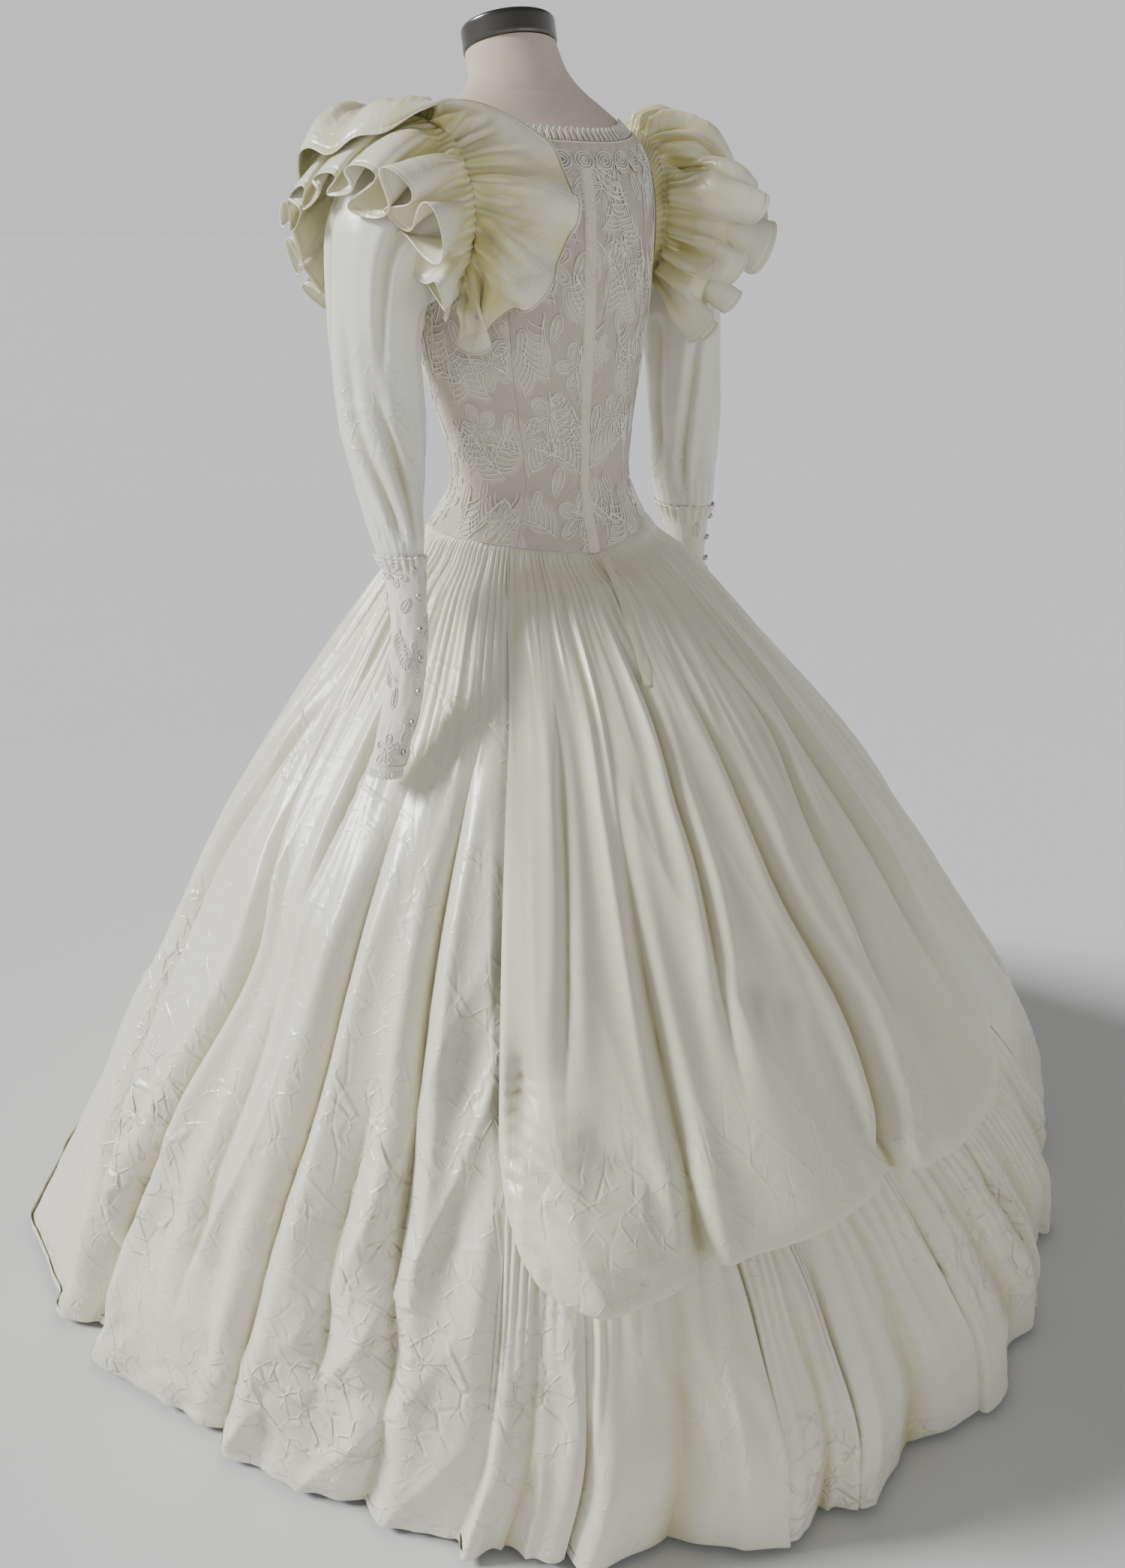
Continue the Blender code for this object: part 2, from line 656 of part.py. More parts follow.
def neck_lace():
    """Scalloped lace round the back and front neckline, standing a little above it."""
    steps = NECK_TONGUES * NECK_TONGUE_COLUMNS
    for name, start, end, clear in NECK_LACES:
        out = EASE + CLOTH + clear
        outer = []
        inner = []
        for step in range(steps + 1):
            phi = start + (end - start) * step / steps
            scallop = abs(math.sin(math.pi * step / NECK_TONGUE_COLUMNS))
            low = neck_z(phi) - NECK_LACE_DEPTH * (0.45 + 0.40 * scallop)
            high = neck_z(phi) + NECK_LACE_STAND
            heights = [low + (high - low) * share for share in NECK_LACE_ROWS]
            outer.append([body_point(phi, z, out + LACE) for z in heights])
            inner.append([body_point(phi, z, out) for z in heights])
        add_wall(name, outer, inner, "lace")


def seam_angle(phi, start, end, z, trim):
    """Angle at height z of a line that leaves the waist at phi, drawn in from both side seams."""
    share = (phi - start) / (end - start)
    first = edge_angle(start, z)
    last = edge_angle(end, z)
    inset = math.degrees(trim / read_table(SKIRT, SKIRT_COLUMNS, "z", z, "half_width"))
    return first + (last - first) * share + inset * (1.0 - 2.0 * share)


def edge_angle(edge, z):
    """Where an edge that is at one of the back's two corners at the waist runs at height z."""
    if edge == PANEL_EDGE:
        return read_table(EDGES, EDGE_COLUMNS, "z", z, "left")
    if edge % 360.0 == 360.0 - PANEL_EDGE:
        return edge + PANEL_EDGE - read_table(EDGES, EDGE_COLUMNS, "z", z, "right")
    return edge


def skirt_wall(name, start, end, steps, column_of, trim=SKIRT_SEAM):
    """A skirt panel from a function that gives (height, distance out) for each angle.

    The first row of a panel that starts at the waist is measured from the body.
    """
    outer = []
    inner = []
    for step in range(steps + 1):
        phi = start + (end - start) * step / steps
        column = []
        angles = []
        for row, (z, out) in enumerate(column_of(phi, step)):
            angle = seam_angle(phi, start, end, z, trim)
            from_body = row == 0 and z > WAIST_BACK_Z - 0.01
            column.append(body_point(angle, z, out) if from_body else skirt_point(angle, z, out))
            angles.append(angle)
        outer.append(column)
        inner.append(thicken_in_plane(angles, column, SKIRT_CLOTH))
    add_wall(name, outer, inner, "taffeta")


def waist_top(phi):
    """Top of the skirts, just under the bodice."""
    return waist_z(phi) - SKIRT_TOP_GAP


def side_fade(phi):
    """0 at the back's two edges, 1 away from them."""
    across = abs((phi + 180.0) % 360.0 - 180.0)
    return min(1.0, abs(across - PANEL_EDGE) / EDGE_FADE)


def panel_column(phi, step):
    """Heights and distances out of a full length panel: waist, gathers, then soft folds."""
    top = waist_top(phi)
    wave = fold_wave(phi, FOLDS_PER_DEGREE, FOLD_PHASE)
    fade = side_fade(phi)
    ridge = step % 2
    column = [(top, WAIST_OUT + 0.6 * GATHER_DEPTH * ridge)]
    for share in SKIRT_ROWS:
        z = top + (HEM_LIFT + SKIRT_CLOTH - top) * share
        near = max(0.0, 1.0 - share / GATHER_LENGTH)
        grown = min(1.0, share / 0.7)
        fold = grown * (FOLD_DEPTH * (wave - FOLD_TROUGH) * fade + EDGE_OUT * (1.0 - fade))
        column.append((z, (GATHER_DEPTH * ridge + GATHER_OUT) * near + fold))
    return column


def skirt_panels():
    """Full length gathered panels: sides and front."""
    spans = {
        "skirt_left": (PANEL_EDGE, FRONT_EDGE),
        "skirt_front": (FRONT_EDGE, 360.0 - FRONT_EDGE),
        "skirt_right": (360.0 - FRONT_EDGE, 360.0 - PANEL_EDGE),
    }
    for name, (start, end) in spans.items():
        skirt_wall(name, start, end, 2 * GATHERS[name], panel_column)


def drape_edge(phi, wanted):
    return read_table(DRAPE_EDGE, DRAPE_COLUMNS, "phi", phi, wanted)


def back_column(phi, step):
    top = waist_top(phi)
    column = [(top, EASE + CLOTH)]
    for share in BACK_ROWS:
        column.append((top + (UNDERSKIRT_FOOT_Z - top) * share, -UNDERSKIRT_DEPTH))
    return column


def flounce_column(phi, step):
    seat = SKIRT_CLOTH + SEAM_GAP * 5.0 - UNDERSKIRT_DEPTH
    wave = fold_wave(phi, FLOUNCE_FOLDS / (2.0 * PANEL_EDGE), FLOUNCE_PHASE)
    column = []
    for share in FLOUNCE_ROWS:
        z = FLOUNCE_TOP_Z + (HEM_LIFT + SKIRT_CLOTH - FLOUNCE_TOP_Z) * share
        fold = FLOUNCE_DEPTH * share**0.7 * wave * side_fade(phi)
        column.append((z, seat + 0.004 * share + fold))
    return column


def drape_column(phi, step):
    top = waist_top(phi)
    foot = drape_edge(phi, "edge_z")
    pouch = drape_edge(phi, "pouch")
    wave = fold_wave(phi, BACK_FOLDS / (2.0 * PANEL_EDGE), BACK_PHASE)
    ridge = step % 2
    column = [(top, DRAPE_TOP_OUT + 0.55 * GATHER_DEPTH * ridge)]
    for share in DRAPE_ROWS:
        near = max(0.0, 1.0 - share / GATHER_LENGTH)
        reach = max(0.0, (share - DRAPE_SWELL_START) / (1.0 - DRAPE_SWELL_START))
        fold = DRAPE_FOLD * math.sin(math.pi * min(1.0, share / 1.1)) * wave
        out = DRAPE_OUT + GATHER_DEPTH * ridge * near + fold + pouch * reach**DRAPE_SWELL_POWER
        column.append((top + (foot - top) * share, out))
    turned = DRAPE_TURN_UNDER * min(1.0, pouch / DRAPE_FULL_POUCH)
    column.append((foot + 0.008, pouch * 0.86 + 0.004))
    column.append((foot - 0.001, pouch * 0.50))
    column.append((foot + turned, min(pouch * 0.26, 0.010)))
    return column


def skirt_layers():
    """Across the back: a plain panel, the flounce it carries, and the pouched drape over both."""
    skirt_wall("skirt_back", -PANEL_EDGE, PANEL_EDGE, 16, back_column)
    flounce_steps = FLOUNCE_FOLDS * FLOUNCE_FOLD_COLUMNS
    skirt_wall("flounce", -PANEL_EDGE, PANEL_EDGE, flounce_steps, flounce_column, FLOUNCE_SEAM)
    skirt_wall("drape", -PANEL_EDGE, PANEL_EDGE, 2 * BACK_GATHERS, drape_column)


def placket():
    """Lap over the opening at the top of the back drape."""
    outer = []
    for side in (-1.0, 0.0, 1.0):
        column = []
        for share in (0.0, 0.4, 1.0):
            z = waist_top(0.0) - 0.001 - PLACKET_LENGTH * share
            angle = side * PLACKET_HALF_ANGLE + PLACKET_SLANT * share
            column.append(skirt_point(angle, z, PLACKET_OUT - 0.002 * share))
        outer.append(column)
    outer = np.array(outer)
    add_wall("skirt_placket", outer, outer + wall_normals(outer) * CLOTH, "taffeta")


def ring_frame(row):
    """Centre of a sleeve ring and its two directions, on the wearer's left."""
    x, y, z, tilt, half_out, half_along, turn = row
    lean = math.radians(tilt)
    plan = math.radians(turn)
    level = np.array([math.cos(plan), math.sin(plan), 0.0])
    up = level * math.sin(lean) + np.array([0.0, 0.0, math.cos(lean)])
    along = np.array([-math.sin(plan), math.cos(plan), 0.0])
    return np.array([x, y, z]), up * half_out, along * half_along


def ring_point(row, psi, sign, out=0.0, shift=0.0):
    """A point of a ring at an angle from its top, moved out and along the arm."""
    turn = math.radians(psi)
    centre, up, along = ring_frame(row)
    up = up * (1.0 + out / np.linalg.norm(up))
    along = along * (1.0 + out / np.linalg.norm(along))
    point = centre + up * math.cos(turn) + along * math.sin(turn)
    return (point + np.array([shift, 0.0, 0.0])) * np.array([sign, 1.0, 1.0])


def ruffle(name, table, ring, sign, seat_out, shift, phase):
    """Half of a gathered strip, from its gathering line to its free edge."""
    steps = RUFFLE_WAVES * 4
    outer = []
    for step in range(steps + 1):
        psi = RUFFLE_REACH * (1.0 - 2.0 * step / steps)
        seat = ring_point(ring, psi, sign, seat_out, shift)
        edge = np.array([read_table(table, RUFFLE_COLUMNS, "psi", psi, key)
                         for key in ("edge_x", "edge_y", "edge_z")])
        edge[0] *= sign
        radial = np.array([0.0, math.sin(math.radians(psi)), math.cos(math.radians(psi))])
        lift = read_table(table, RUFFLE_COLUMNS, "psi", psi, "lift")
        depth = read_table(table, RUFFLE_COLUMNS, "psi", psi, "wave")
        middle = (seat + edge) / 2.0 + radial * lift * 2.0
        swell = math.sin(2 * math.pi * RUFFLE_WAVES * step / steps + phase)
        column = []
        for share in RUFFLE_ROWS:
            curve = seat * (1 - share)**2 + middle * 2 * share * (1 - share) + edge * share**2
            column.append(curve + radial * depth * share**2 * swell)
        outer.append(column)
    outer = np.array(outer)
    normals = wall_normals(outer) * -sign
    add_wall(name, outer + normals * CLOTH, outer, "taffeta")


def ruffles():
    for side, sign, ring, inner_table, outer_table in (
            ("left", 1.0, LEFT_RING, LEFT_INNER, LEFT_OUTER),
            ("right", -1.0, RIGHT_RING, RIGHT_INNER, RIGHT_OUTER)):
        ruffle("ruffle_inner_" + side, inner_table, ring, sign, INNER_SEAT, -ROOT_SHIFT, INNER_PHASE)
        ruffle("ruffle_outer_" + side, outer_table, ring, sign, OUTER_SEAT, ROOT_SHIFT, OUTER_PHASE)


def tube_ring(row, sign, sides, drop=0.0):
    """Points of one ring of a sleeve or cuff, moved along the sleeve by drop."""
    centre, up, along = ring_frame(row)
    down = np.cross(along, up)
    centre = centre + down / np.linalg.norm(down) * drop
    points = []
    for side in range(sides):
        psi = 2 * math.pi * side / sides
        point = centre + up * math.cos(psi) + along * math.sin(psi)
        points.append(point * np.array([sign, 1.0, 1.0]))
    return points


def armhole_ring(sign):
    """Where the sleeve head is sewn on, just off the bodice."""
    points = []
    for side in range(SLEEVE_SIDES):
        psi = 2 * math.pi * side / SLEEVE_SIDES
        z = ARMHOLE_Z + (ARMHOLE_HALF_HEIGHT + 0.006) * math.cos(psi)
        phi = 90.0 - (ARMHOLE_HALF_ANGLE + 2.0) * math.sin(psi)
        points.append(body_point(sign * phi, z, EASE + CLOTH + ARMHOLE_CLEAR))
    return points


def tube_wall(name, rings, sign, wall, material):
    """A hollow tube through rings, from its outer points."""
    outer = np.array([[ring[column] for ring in rings] for column in range(len(rings[0]))])
    normals = wall_normals(outer, closed=True) * -sign
    add_wall(name, outer, outer - normals * wall, material, closed=True)


def sleeves():
    for side, sign, table in (("left", 1.0, LEFT_SLEEVE), ("right", -1.0, RIGHT_SLEEVE)):
        rings = [armhole_ring(sign)]
        rings += [tube_ring(row, sign, SLEEVE_SIDES) for row in table]
        tube_wall("sleeve_" + side, rings, sign, CLOTH, "taffeta")


def cuffs():
    """Lace cuffs, each sewn to the sleeve's last ring."""
    for side, sign, sleeve, table in (("left", 1.0, LEFT_SLEEVE, LEFT_CUFF),
                                      ("right", -1.0, RIGHT_SLEEVE, RIGHT_CUFF)):
        rings = [tube_ring(sleeve[-1], sign, SLEEVE_SIDES, CUFF_SEAM)]
        rings += [tube_ring(row, sign, SLEEVE_SIDES) for row in table]
        tube_wall("cuff_" + side, rings, sign, LACE, "lace")


def button(name, seat, outward):
    """Small dome on a cuff."""
    helper = np.array([0.0, 0.0, 1.0])
    first = np.cross(outward, helper)
    first /= np.linalg.norm(first)
    second = np.cross(outward, first)
    rings = []
    for height, radius in ((0.0, 1.0), (0.55, 0.88), (1.0, 0.38)):
        ring = []
        for corner in range(BUTTON_SIDES):
            turn = 2 * math.pi * corner / BUTTON_SIDES
            flat = first * math.cos(turn) + second * math.sin(turn)
            ring.append(seat + outward * height * BUTTON_HEIGHT + flat * radius * BUTTON_RADIUS)
        rings.append(ring)
    stack_rings(name, rings, "button")


def cuff_buttons():
    for side, sign, sleeve, table, turn in (
            ("left", 1.0, LEFT_SLEEVE, LEFT_CUFF, LEFT_BUTTON_TURN),
            ("right", -1.0, RIGHT_SLEEVE, RIGHT_CUFF, RIGHT_BUTTON_TURN)):
        psi = math.radians(turn)
        line = []
        around = []
        for row in (sleeve[-1],) + table:
            centre, up, along = ring_frame(row)
            line.append(centre + up * math.cos(psi) + along * math.sin(psi))
            around.append(along * math.cos(psi) - up * math.sin(psi))
        lengths = [0.0]
        for first, second in zip(line, line[1:]):
            lengths.append(lengths[-1] + np.linalg.norm(second - first))
        for index in range(BUTTONS_PER_CUFF):
            reach = BUTTON_START + (lengths[-1] - BUTTON_START - BUTTON_END) * index / (BUTTONS_PER_CUFF - 1)
            cell = min(int(np.searchsorted(lengths, reach)), len(line) - 1) - 1
            share = (reach - lengths[cell]) / (lengths[cell + 1] - lengths[cell])
            seat = line[cell] + (line[cell + 1] - line[cell]) * share
            outward = np.cross(line[cell + 1] - line[cell], around[cell])
            outward /= np.linalg.norm(outward)
            mirror = np.array([sign, 1.0, 1.0])
            seat = (seat + outward * BUTTON_CLEAR) * mirror
            button("button_%s_%d" % (side, index + 1), seat, outward * mirror)


def build_dress():
    clear_scene()
    form_torso()
    form_neck_cap()
    form_stand()
    bodice()
    zip_lap()
    neck_lace()
    skirt_panels()
    skirt_layers()
    placket()
    sleeves()
    ruffles()
    cuffs()
    cuff_buttons()


build_dress()
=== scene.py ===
"""Finish of a wedding dress of cream lace and taffeta on a limbless dress form.

Metres, +Z up.  The dress faces -Y, its wearer's left is +X and its centre back is on +Y.
An angle round the body, phi, is in degrees from centre back towards the wearer's left.
The sections of the body, skirt, sleeves and cuffs are the solids' own, so each shell lies on its
solid's form.  Folds, creases and waves are laid on it here, and the drape's edge has a lobe more.
"""
import json
import math

import bpy
import numpy as np
from mathutils import Matrix, Vector
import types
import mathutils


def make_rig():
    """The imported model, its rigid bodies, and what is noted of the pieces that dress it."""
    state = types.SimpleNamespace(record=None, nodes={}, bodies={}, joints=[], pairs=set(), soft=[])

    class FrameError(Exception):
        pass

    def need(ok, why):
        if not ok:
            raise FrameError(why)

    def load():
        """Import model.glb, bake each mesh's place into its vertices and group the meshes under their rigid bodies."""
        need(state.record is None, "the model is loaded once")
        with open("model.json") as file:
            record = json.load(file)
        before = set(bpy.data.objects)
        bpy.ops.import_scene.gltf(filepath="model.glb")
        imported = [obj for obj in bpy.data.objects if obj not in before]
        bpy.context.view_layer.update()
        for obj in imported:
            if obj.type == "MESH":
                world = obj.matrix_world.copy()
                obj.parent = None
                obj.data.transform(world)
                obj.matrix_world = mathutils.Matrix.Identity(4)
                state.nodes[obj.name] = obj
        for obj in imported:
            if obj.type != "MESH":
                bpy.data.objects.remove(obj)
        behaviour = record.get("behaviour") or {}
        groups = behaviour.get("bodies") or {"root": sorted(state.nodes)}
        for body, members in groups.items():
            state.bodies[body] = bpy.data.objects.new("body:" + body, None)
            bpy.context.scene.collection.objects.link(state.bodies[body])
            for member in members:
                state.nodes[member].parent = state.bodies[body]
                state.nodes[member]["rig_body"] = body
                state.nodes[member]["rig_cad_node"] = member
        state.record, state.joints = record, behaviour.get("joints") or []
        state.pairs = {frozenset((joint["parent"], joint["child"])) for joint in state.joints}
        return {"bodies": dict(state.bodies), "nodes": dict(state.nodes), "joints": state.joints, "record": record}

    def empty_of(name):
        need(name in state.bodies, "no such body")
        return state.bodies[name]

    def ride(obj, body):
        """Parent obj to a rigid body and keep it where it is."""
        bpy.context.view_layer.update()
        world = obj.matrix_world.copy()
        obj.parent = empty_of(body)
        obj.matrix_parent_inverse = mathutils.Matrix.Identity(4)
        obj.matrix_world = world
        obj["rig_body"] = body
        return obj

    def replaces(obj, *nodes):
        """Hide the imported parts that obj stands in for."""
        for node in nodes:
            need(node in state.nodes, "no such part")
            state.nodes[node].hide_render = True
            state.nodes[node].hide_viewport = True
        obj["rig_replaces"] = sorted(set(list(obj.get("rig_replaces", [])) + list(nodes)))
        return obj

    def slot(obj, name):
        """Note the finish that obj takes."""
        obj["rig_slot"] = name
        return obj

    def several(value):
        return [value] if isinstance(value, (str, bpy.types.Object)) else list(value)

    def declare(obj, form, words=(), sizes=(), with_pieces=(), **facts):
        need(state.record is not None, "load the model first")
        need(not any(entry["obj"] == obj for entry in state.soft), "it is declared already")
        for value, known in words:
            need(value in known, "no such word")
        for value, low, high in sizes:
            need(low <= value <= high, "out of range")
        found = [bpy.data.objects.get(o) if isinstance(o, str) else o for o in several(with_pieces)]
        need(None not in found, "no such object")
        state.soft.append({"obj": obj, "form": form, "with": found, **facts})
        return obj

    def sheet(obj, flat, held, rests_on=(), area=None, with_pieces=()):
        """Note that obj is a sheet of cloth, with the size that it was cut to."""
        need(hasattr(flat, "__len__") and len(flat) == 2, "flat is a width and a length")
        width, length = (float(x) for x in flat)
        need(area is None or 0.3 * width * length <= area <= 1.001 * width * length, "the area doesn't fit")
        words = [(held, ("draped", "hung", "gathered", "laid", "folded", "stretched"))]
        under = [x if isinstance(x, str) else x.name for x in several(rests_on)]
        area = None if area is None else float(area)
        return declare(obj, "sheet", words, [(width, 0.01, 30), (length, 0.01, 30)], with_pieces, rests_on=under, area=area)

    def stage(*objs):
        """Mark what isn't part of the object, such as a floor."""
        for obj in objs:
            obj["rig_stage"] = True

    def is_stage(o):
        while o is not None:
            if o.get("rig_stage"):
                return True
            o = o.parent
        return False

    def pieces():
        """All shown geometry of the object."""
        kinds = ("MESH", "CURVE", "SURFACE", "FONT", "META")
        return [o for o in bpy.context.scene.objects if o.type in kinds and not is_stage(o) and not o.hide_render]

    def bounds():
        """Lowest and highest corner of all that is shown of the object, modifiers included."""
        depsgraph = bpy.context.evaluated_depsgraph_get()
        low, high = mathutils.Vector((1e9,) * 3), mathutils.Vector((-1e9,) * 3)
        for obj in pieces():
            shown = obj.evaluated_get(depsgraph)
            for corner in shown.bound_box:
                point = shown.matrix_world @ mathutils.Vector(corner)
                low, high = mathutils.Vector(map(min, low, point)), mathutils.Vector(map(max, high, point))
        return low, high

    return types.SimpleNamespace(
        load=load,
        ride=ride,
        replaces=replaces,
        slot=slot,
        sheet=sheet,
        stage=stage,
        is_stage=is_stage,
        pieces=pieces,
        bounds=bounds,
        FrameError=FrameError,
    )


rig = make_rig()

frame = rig.load()
cad_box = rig.bounds()


class Table:
    """Rows of numbers under named columns, read as smooth curves along the first column."""

    def __init__(self, columns, rows):
        order = np.array(sorted(rows), float)
        self.keys = order[:, 0]
        self.values = dict(zip(columns[1:], order[:, 1:].T))

    def __call__(self, column, key):
        keys = self.keys
        values = self.values[column]
        slopes = np.empty_like(values)
        slopes[1:-1] = (values[2:] - values[:-2]) / (keys[2:] - keys[:-2])
        slopes[0] = (values[1] - values[0]) / (keys[1] - keys[0])
        slopes[-1] = (values[-1] - values[-2]) / (keys[-1] - keys[-2])
        key = np.clip(np.asarray(key, float), keys[0], keys[-1])
        cell = np.clip(np.searchsorted(keys, key) - 1, 0, len(keys) - 2)
        width = keys[cell + 1] - keys[cell]
        t = (key - keys[cell]) / width
        rise = (2 * t**3 - 3 * t**2 + 1) * values[cell] + (3 * t**2 - 2 * t**3) * values[cell + 1]
        bend = (t**3 - 2 * t**2 + t) * slopes[cell] + (t**3 - t**2) * slopes[cell + 1]
        return rise + bend * width


# Cloth
CLOTH = 0.0014
SKIRT_CLOTH = 0.0016
SEAM_GAP = 0.0003
EASE = 0.0006
HEM_Z = 0.0112
HEM_DEPTH = 0.014         # the hem's fold turned up inside
HEM_STITCH_Z = 0.027

# Sections of the body: height, half width, half depth, centre, lean in degrees
BODY = Table(("z", "half_width", "half_depth", "centre_y", "lean"), (
    (0.800, 0.118, 0.095, 0.000, 0),
    (0.815, 0.140, 0.112, 0.000, 0),
    (0.850, 0.160, 0.127, 0.001, 0),
    (0.910, 0.166, 0.132, 0.003, 0),
    (0.950, 0.161, 0.128, 0.004, 0),
    (0.985, 0.152, 0.122, 0.004, 0),
    (1.015, 0.133, 0.108, 0.008, 0),
    (1.050, 0.117, 0.095, 0.012, 0),
    (1.090, 0.119, 0.097, 0.010, 0),
    (1.130, 0.127, 0.103, 0.004, 0),
    (1.175, 0.138, 0.112, -0.002, 0),
    (1.220, 0.146, 0.118, -0.005, 0),
    (1.270, 0.151, 0.118, -0.003, 0),
    (1.345, 0.152, 0.111, 0.003, 0),
    (1.395, 0.148, 0.099, 0.004, 0),
    (1.425, 0.140, 0.086, 0.000, 0),
    (1.445, 0.124, 0.073, -0.006, 0),
    (1.462, 0.100, 0.063, -0.013, 3),
    (1.478, 0.075, 0.056, -0.021, 7),
    (1.495, 0.060, 0.053, -0.030, 10),
    (1.522, 0.054, 0.053, -0.045, 13),
))
NECK_TOP = (-0.045, 1.522, 13.0)     # y, z and lean of the form's neck at its top
NECK_SEAM_Z = 1.470
TORSO_FOOT_Z = 0.800
CAP_RADIUS = 0.0545
CAP_HEIGHT = 0.026

# Bodice
WAIST_SIDE_Z = 0.995
WAIST_BACK_Z = 0.973
NECK_BACK_Z = 1.420
NECK_FRONT_Z = 1.375
SHOULDER_Z = 1.452
SHOULDER_TOP_Z = 1.444
PRINCESS_BACK = 38.0
PRINCESS_FRONT = 145.0
ARMHOLE_Z = 1.345
ARMHOLE_HALF_HEIGHT = 0.075
ARMHOLE_HALF_ANGLE = 25.0
BODICE_SEAM = 0.07
BODY_MIDDLE = (0.0, 0.05)

# Sections of the skirt: height, half width, centre behind the pole, depth over width
SKIRT = Table(("z", "half_width", "centre_y", "roundness"), (
    (0.985, 0.152, 0.004, 0.80),
    (0.930, 0.208, 0.012, 0.88),
    (0.850, 0.276, 0.026, 0.96),
    (0.750, 0.361, 0.040, 0.97),
    (0.650, 0.438, 0.055, 0.97),
    (0.550, 0.500, 0.069, 0.97),
    (0.450, 0.562, 0.084, 0.97),
    (0.350, 0.625, 0.088, 0.97),
    (0.250, 0.667, 0.082, 0.97),
    (0.150, 0.706, 0.066, 0.97),
    (0.000, 0.754, 0.012, 0.97),
))
# How far the hem swings out or in from the plain section as it stands on the floor
SWING = Table(("phi", "out"), (
    (-180, 0.005),
    (-140, 0.000),
    (-110, -0.008),
    (-80, 0.006),
    (-63, 0.026),
    (-54, 0.075),
    (-47, 0.016),
    (-40, 0.020),
    (-32, 0.002),
    (-15, 0.030),
    (-3, 0.000),
    (9, 0.012),
    (22, -0.020),
    (41, -0.027),
    (52, -0.046),
    (70, -0.050),
    (79, -0.036),
    (90, -0.010),
    (99, 0.012),
    (108, 0.036),
    (124, 0.016),
    (150, 0.005),
    (180, 0.005),
))
SWING_TOP_Z = 0.410
SWING_FADE = 1.3
# Where the back's left and right edges run below the waist, in degrees
EDGES = Table(("z", "left", "right"), (
    (0.000, 41, 50),
    (0.150, 41, 46),
    (0.300, 41, 39),
    (0.450, 41, 32),
    (0.600, 41, 31),
    (0.750, 41, 33),
    (0.850, 41, 37),
    (0.940, 41, 41),
    (0.990, 41, 41),
))
PANEL_EDGE = 41.0
FRONT_EDGE = 120.0
FOLDS_PER_DEGREE = 0.075
FOLD_PHASE = 40.0
FOLD_DRIFT = ((0.55, 2.3), (0.35, 5.1))
FOLD_TROUGH = 0.35
EDGE_FADE = 4.0
EDGE_OUT = -0.0065
FOLD_DEPTH = 0.019
GATHER_OUT = 0.004
GATHER_LENGTH = 0.5
SKIRT_TOP_GAP = 0.0007
WAIST_SHARE = 0.055       # share of a panel over which it leaves the body
WAIST_OUT = 0.0040
DRAPE_TOP_OUT = 0.0058
UNDERSKIRT_DEPTH = 0.013
UNDERSKIRT_FOOT_Z = 0.425

# Depths of the gathers: fine ones at the waist, middling ones, broad ones below
GATHER_DEPTHS = (0.0044, 0.0070, 0.0065)
# Long drag lines: depth, spacing, bend, length
PANEL_DRAG = (0.0060, 0.075, 1.3, 0.42)
DRAPE_DRAG = (0.0050, 0.085, 1.2, 0.40)
# Crushed facets: depth and size of the broad ones, then of the fine ones
PANEL_CRUSH = (0.0125, 0.070, 0.0056, 0.032)
FLOUNCE_CRUSH = (0.0100, 0.065, 0.0046, 0.030)
HEM_ROWS = 20
HEM_SPAN = 0.036          # length of cloth over which the rows are closer together

# Lower edge of the back drape: angle, height of the edge, how far the pouch stands out
DRAPE_EDGE = Table(("phi", "edge_z", "pouch"), (
    (-41.0, 0.500, 0.018),
    (-36.5, 0.452, 0.030),
    (-31.0, 0.412, 0.040),
    (-25.0, 0.396, 0.042),
    (-17.0, 0.392, 0.038),
    (-10.0, 0.394, 0.032),
    (-6.5, 0.398, 0.024),
    (-4.0, 0.406, 0.012),
    (-1.5, 0.399, 0.026),
    (3.0, 0.394, 0.036),
    (9.0, 0.390, 0.040),
    (15.0, 0.388, 0.038),
    (18.5, 0.389, 0.030),
    (20.5, 0.394, 0.018),
    (22.5, 0.384, 0.030),
    (26.0, 0.380, 0.046),
    (31.0, 0.381, 0.052),
    (35.0, 0.391, 0.052),
    (38.0, 0.414, 0.048),
    (40.0, 0.446, 0.038),
    (41.0, 0.478, 0.022),
))
DRAPE_OUT = 0.003
DRAPE_FOLD = 0.012
DRAPE_SWELL_START = 0.3
DRAPE_SWELL_POWER = 1.6
DRAPE_TURN_UNDER = 0.030
DRAPE_FULL_POUCH = 0.034
DRAPE_TRIMS = (-0.002, -0.002)
DRAPE_POUF = (0.036, 0.100, 0.085, 0.430, 0.055)    # depth; middle and width across; and up
DRAPE_NIP = (0.020, 0.000, 0.055, 0.535, 0.032)     # the hollow above the pouf, likewise
DRAPE_CRUMPLE = (0.034, 0.110, 0.080, 0.462, 0.048)
POUCH_ROWS = 22
BACK_FOLDS = 7.0
BACK_PHASE = 70.0

# Flounce: where each fold starts in degrees, its depth, and where its crest is across it
FLOUNCE_TOP_Z = 0.450
FLOUNCE_LOBES = (
    (-50.0, 0.018, 0.40),
    (-43.5, 0.026, 0.70),
    (-36.0, 0.022, 0.25),
    (-30.0, 0.028, 0.64),
    (-25.0, 0.026, 0.28),
    (-17.8, 0.030, 0.72),
    (-11.0, 0.024, 0.26),
    (-2.9, 0.030, 0.68),
    (5.3, 0.022, 0.30),
    (8.2, 0.030, 0.74),
    (13.2, 0.034, 0.24),
    (22.0, 0.030, 0.62),
    (31.4, 0.024, 0.30),
    (36.5, 0.018, 0.60),
)
FLOUNCE_FOLD_COLUMNS = 36
FLOUNCE_LEAN = 1.15       # how far a fold leans over the gap beside its crest
# Radius at which the flounce's crushed facets are laid out
FLOUNCE_RADIUS = 0.72

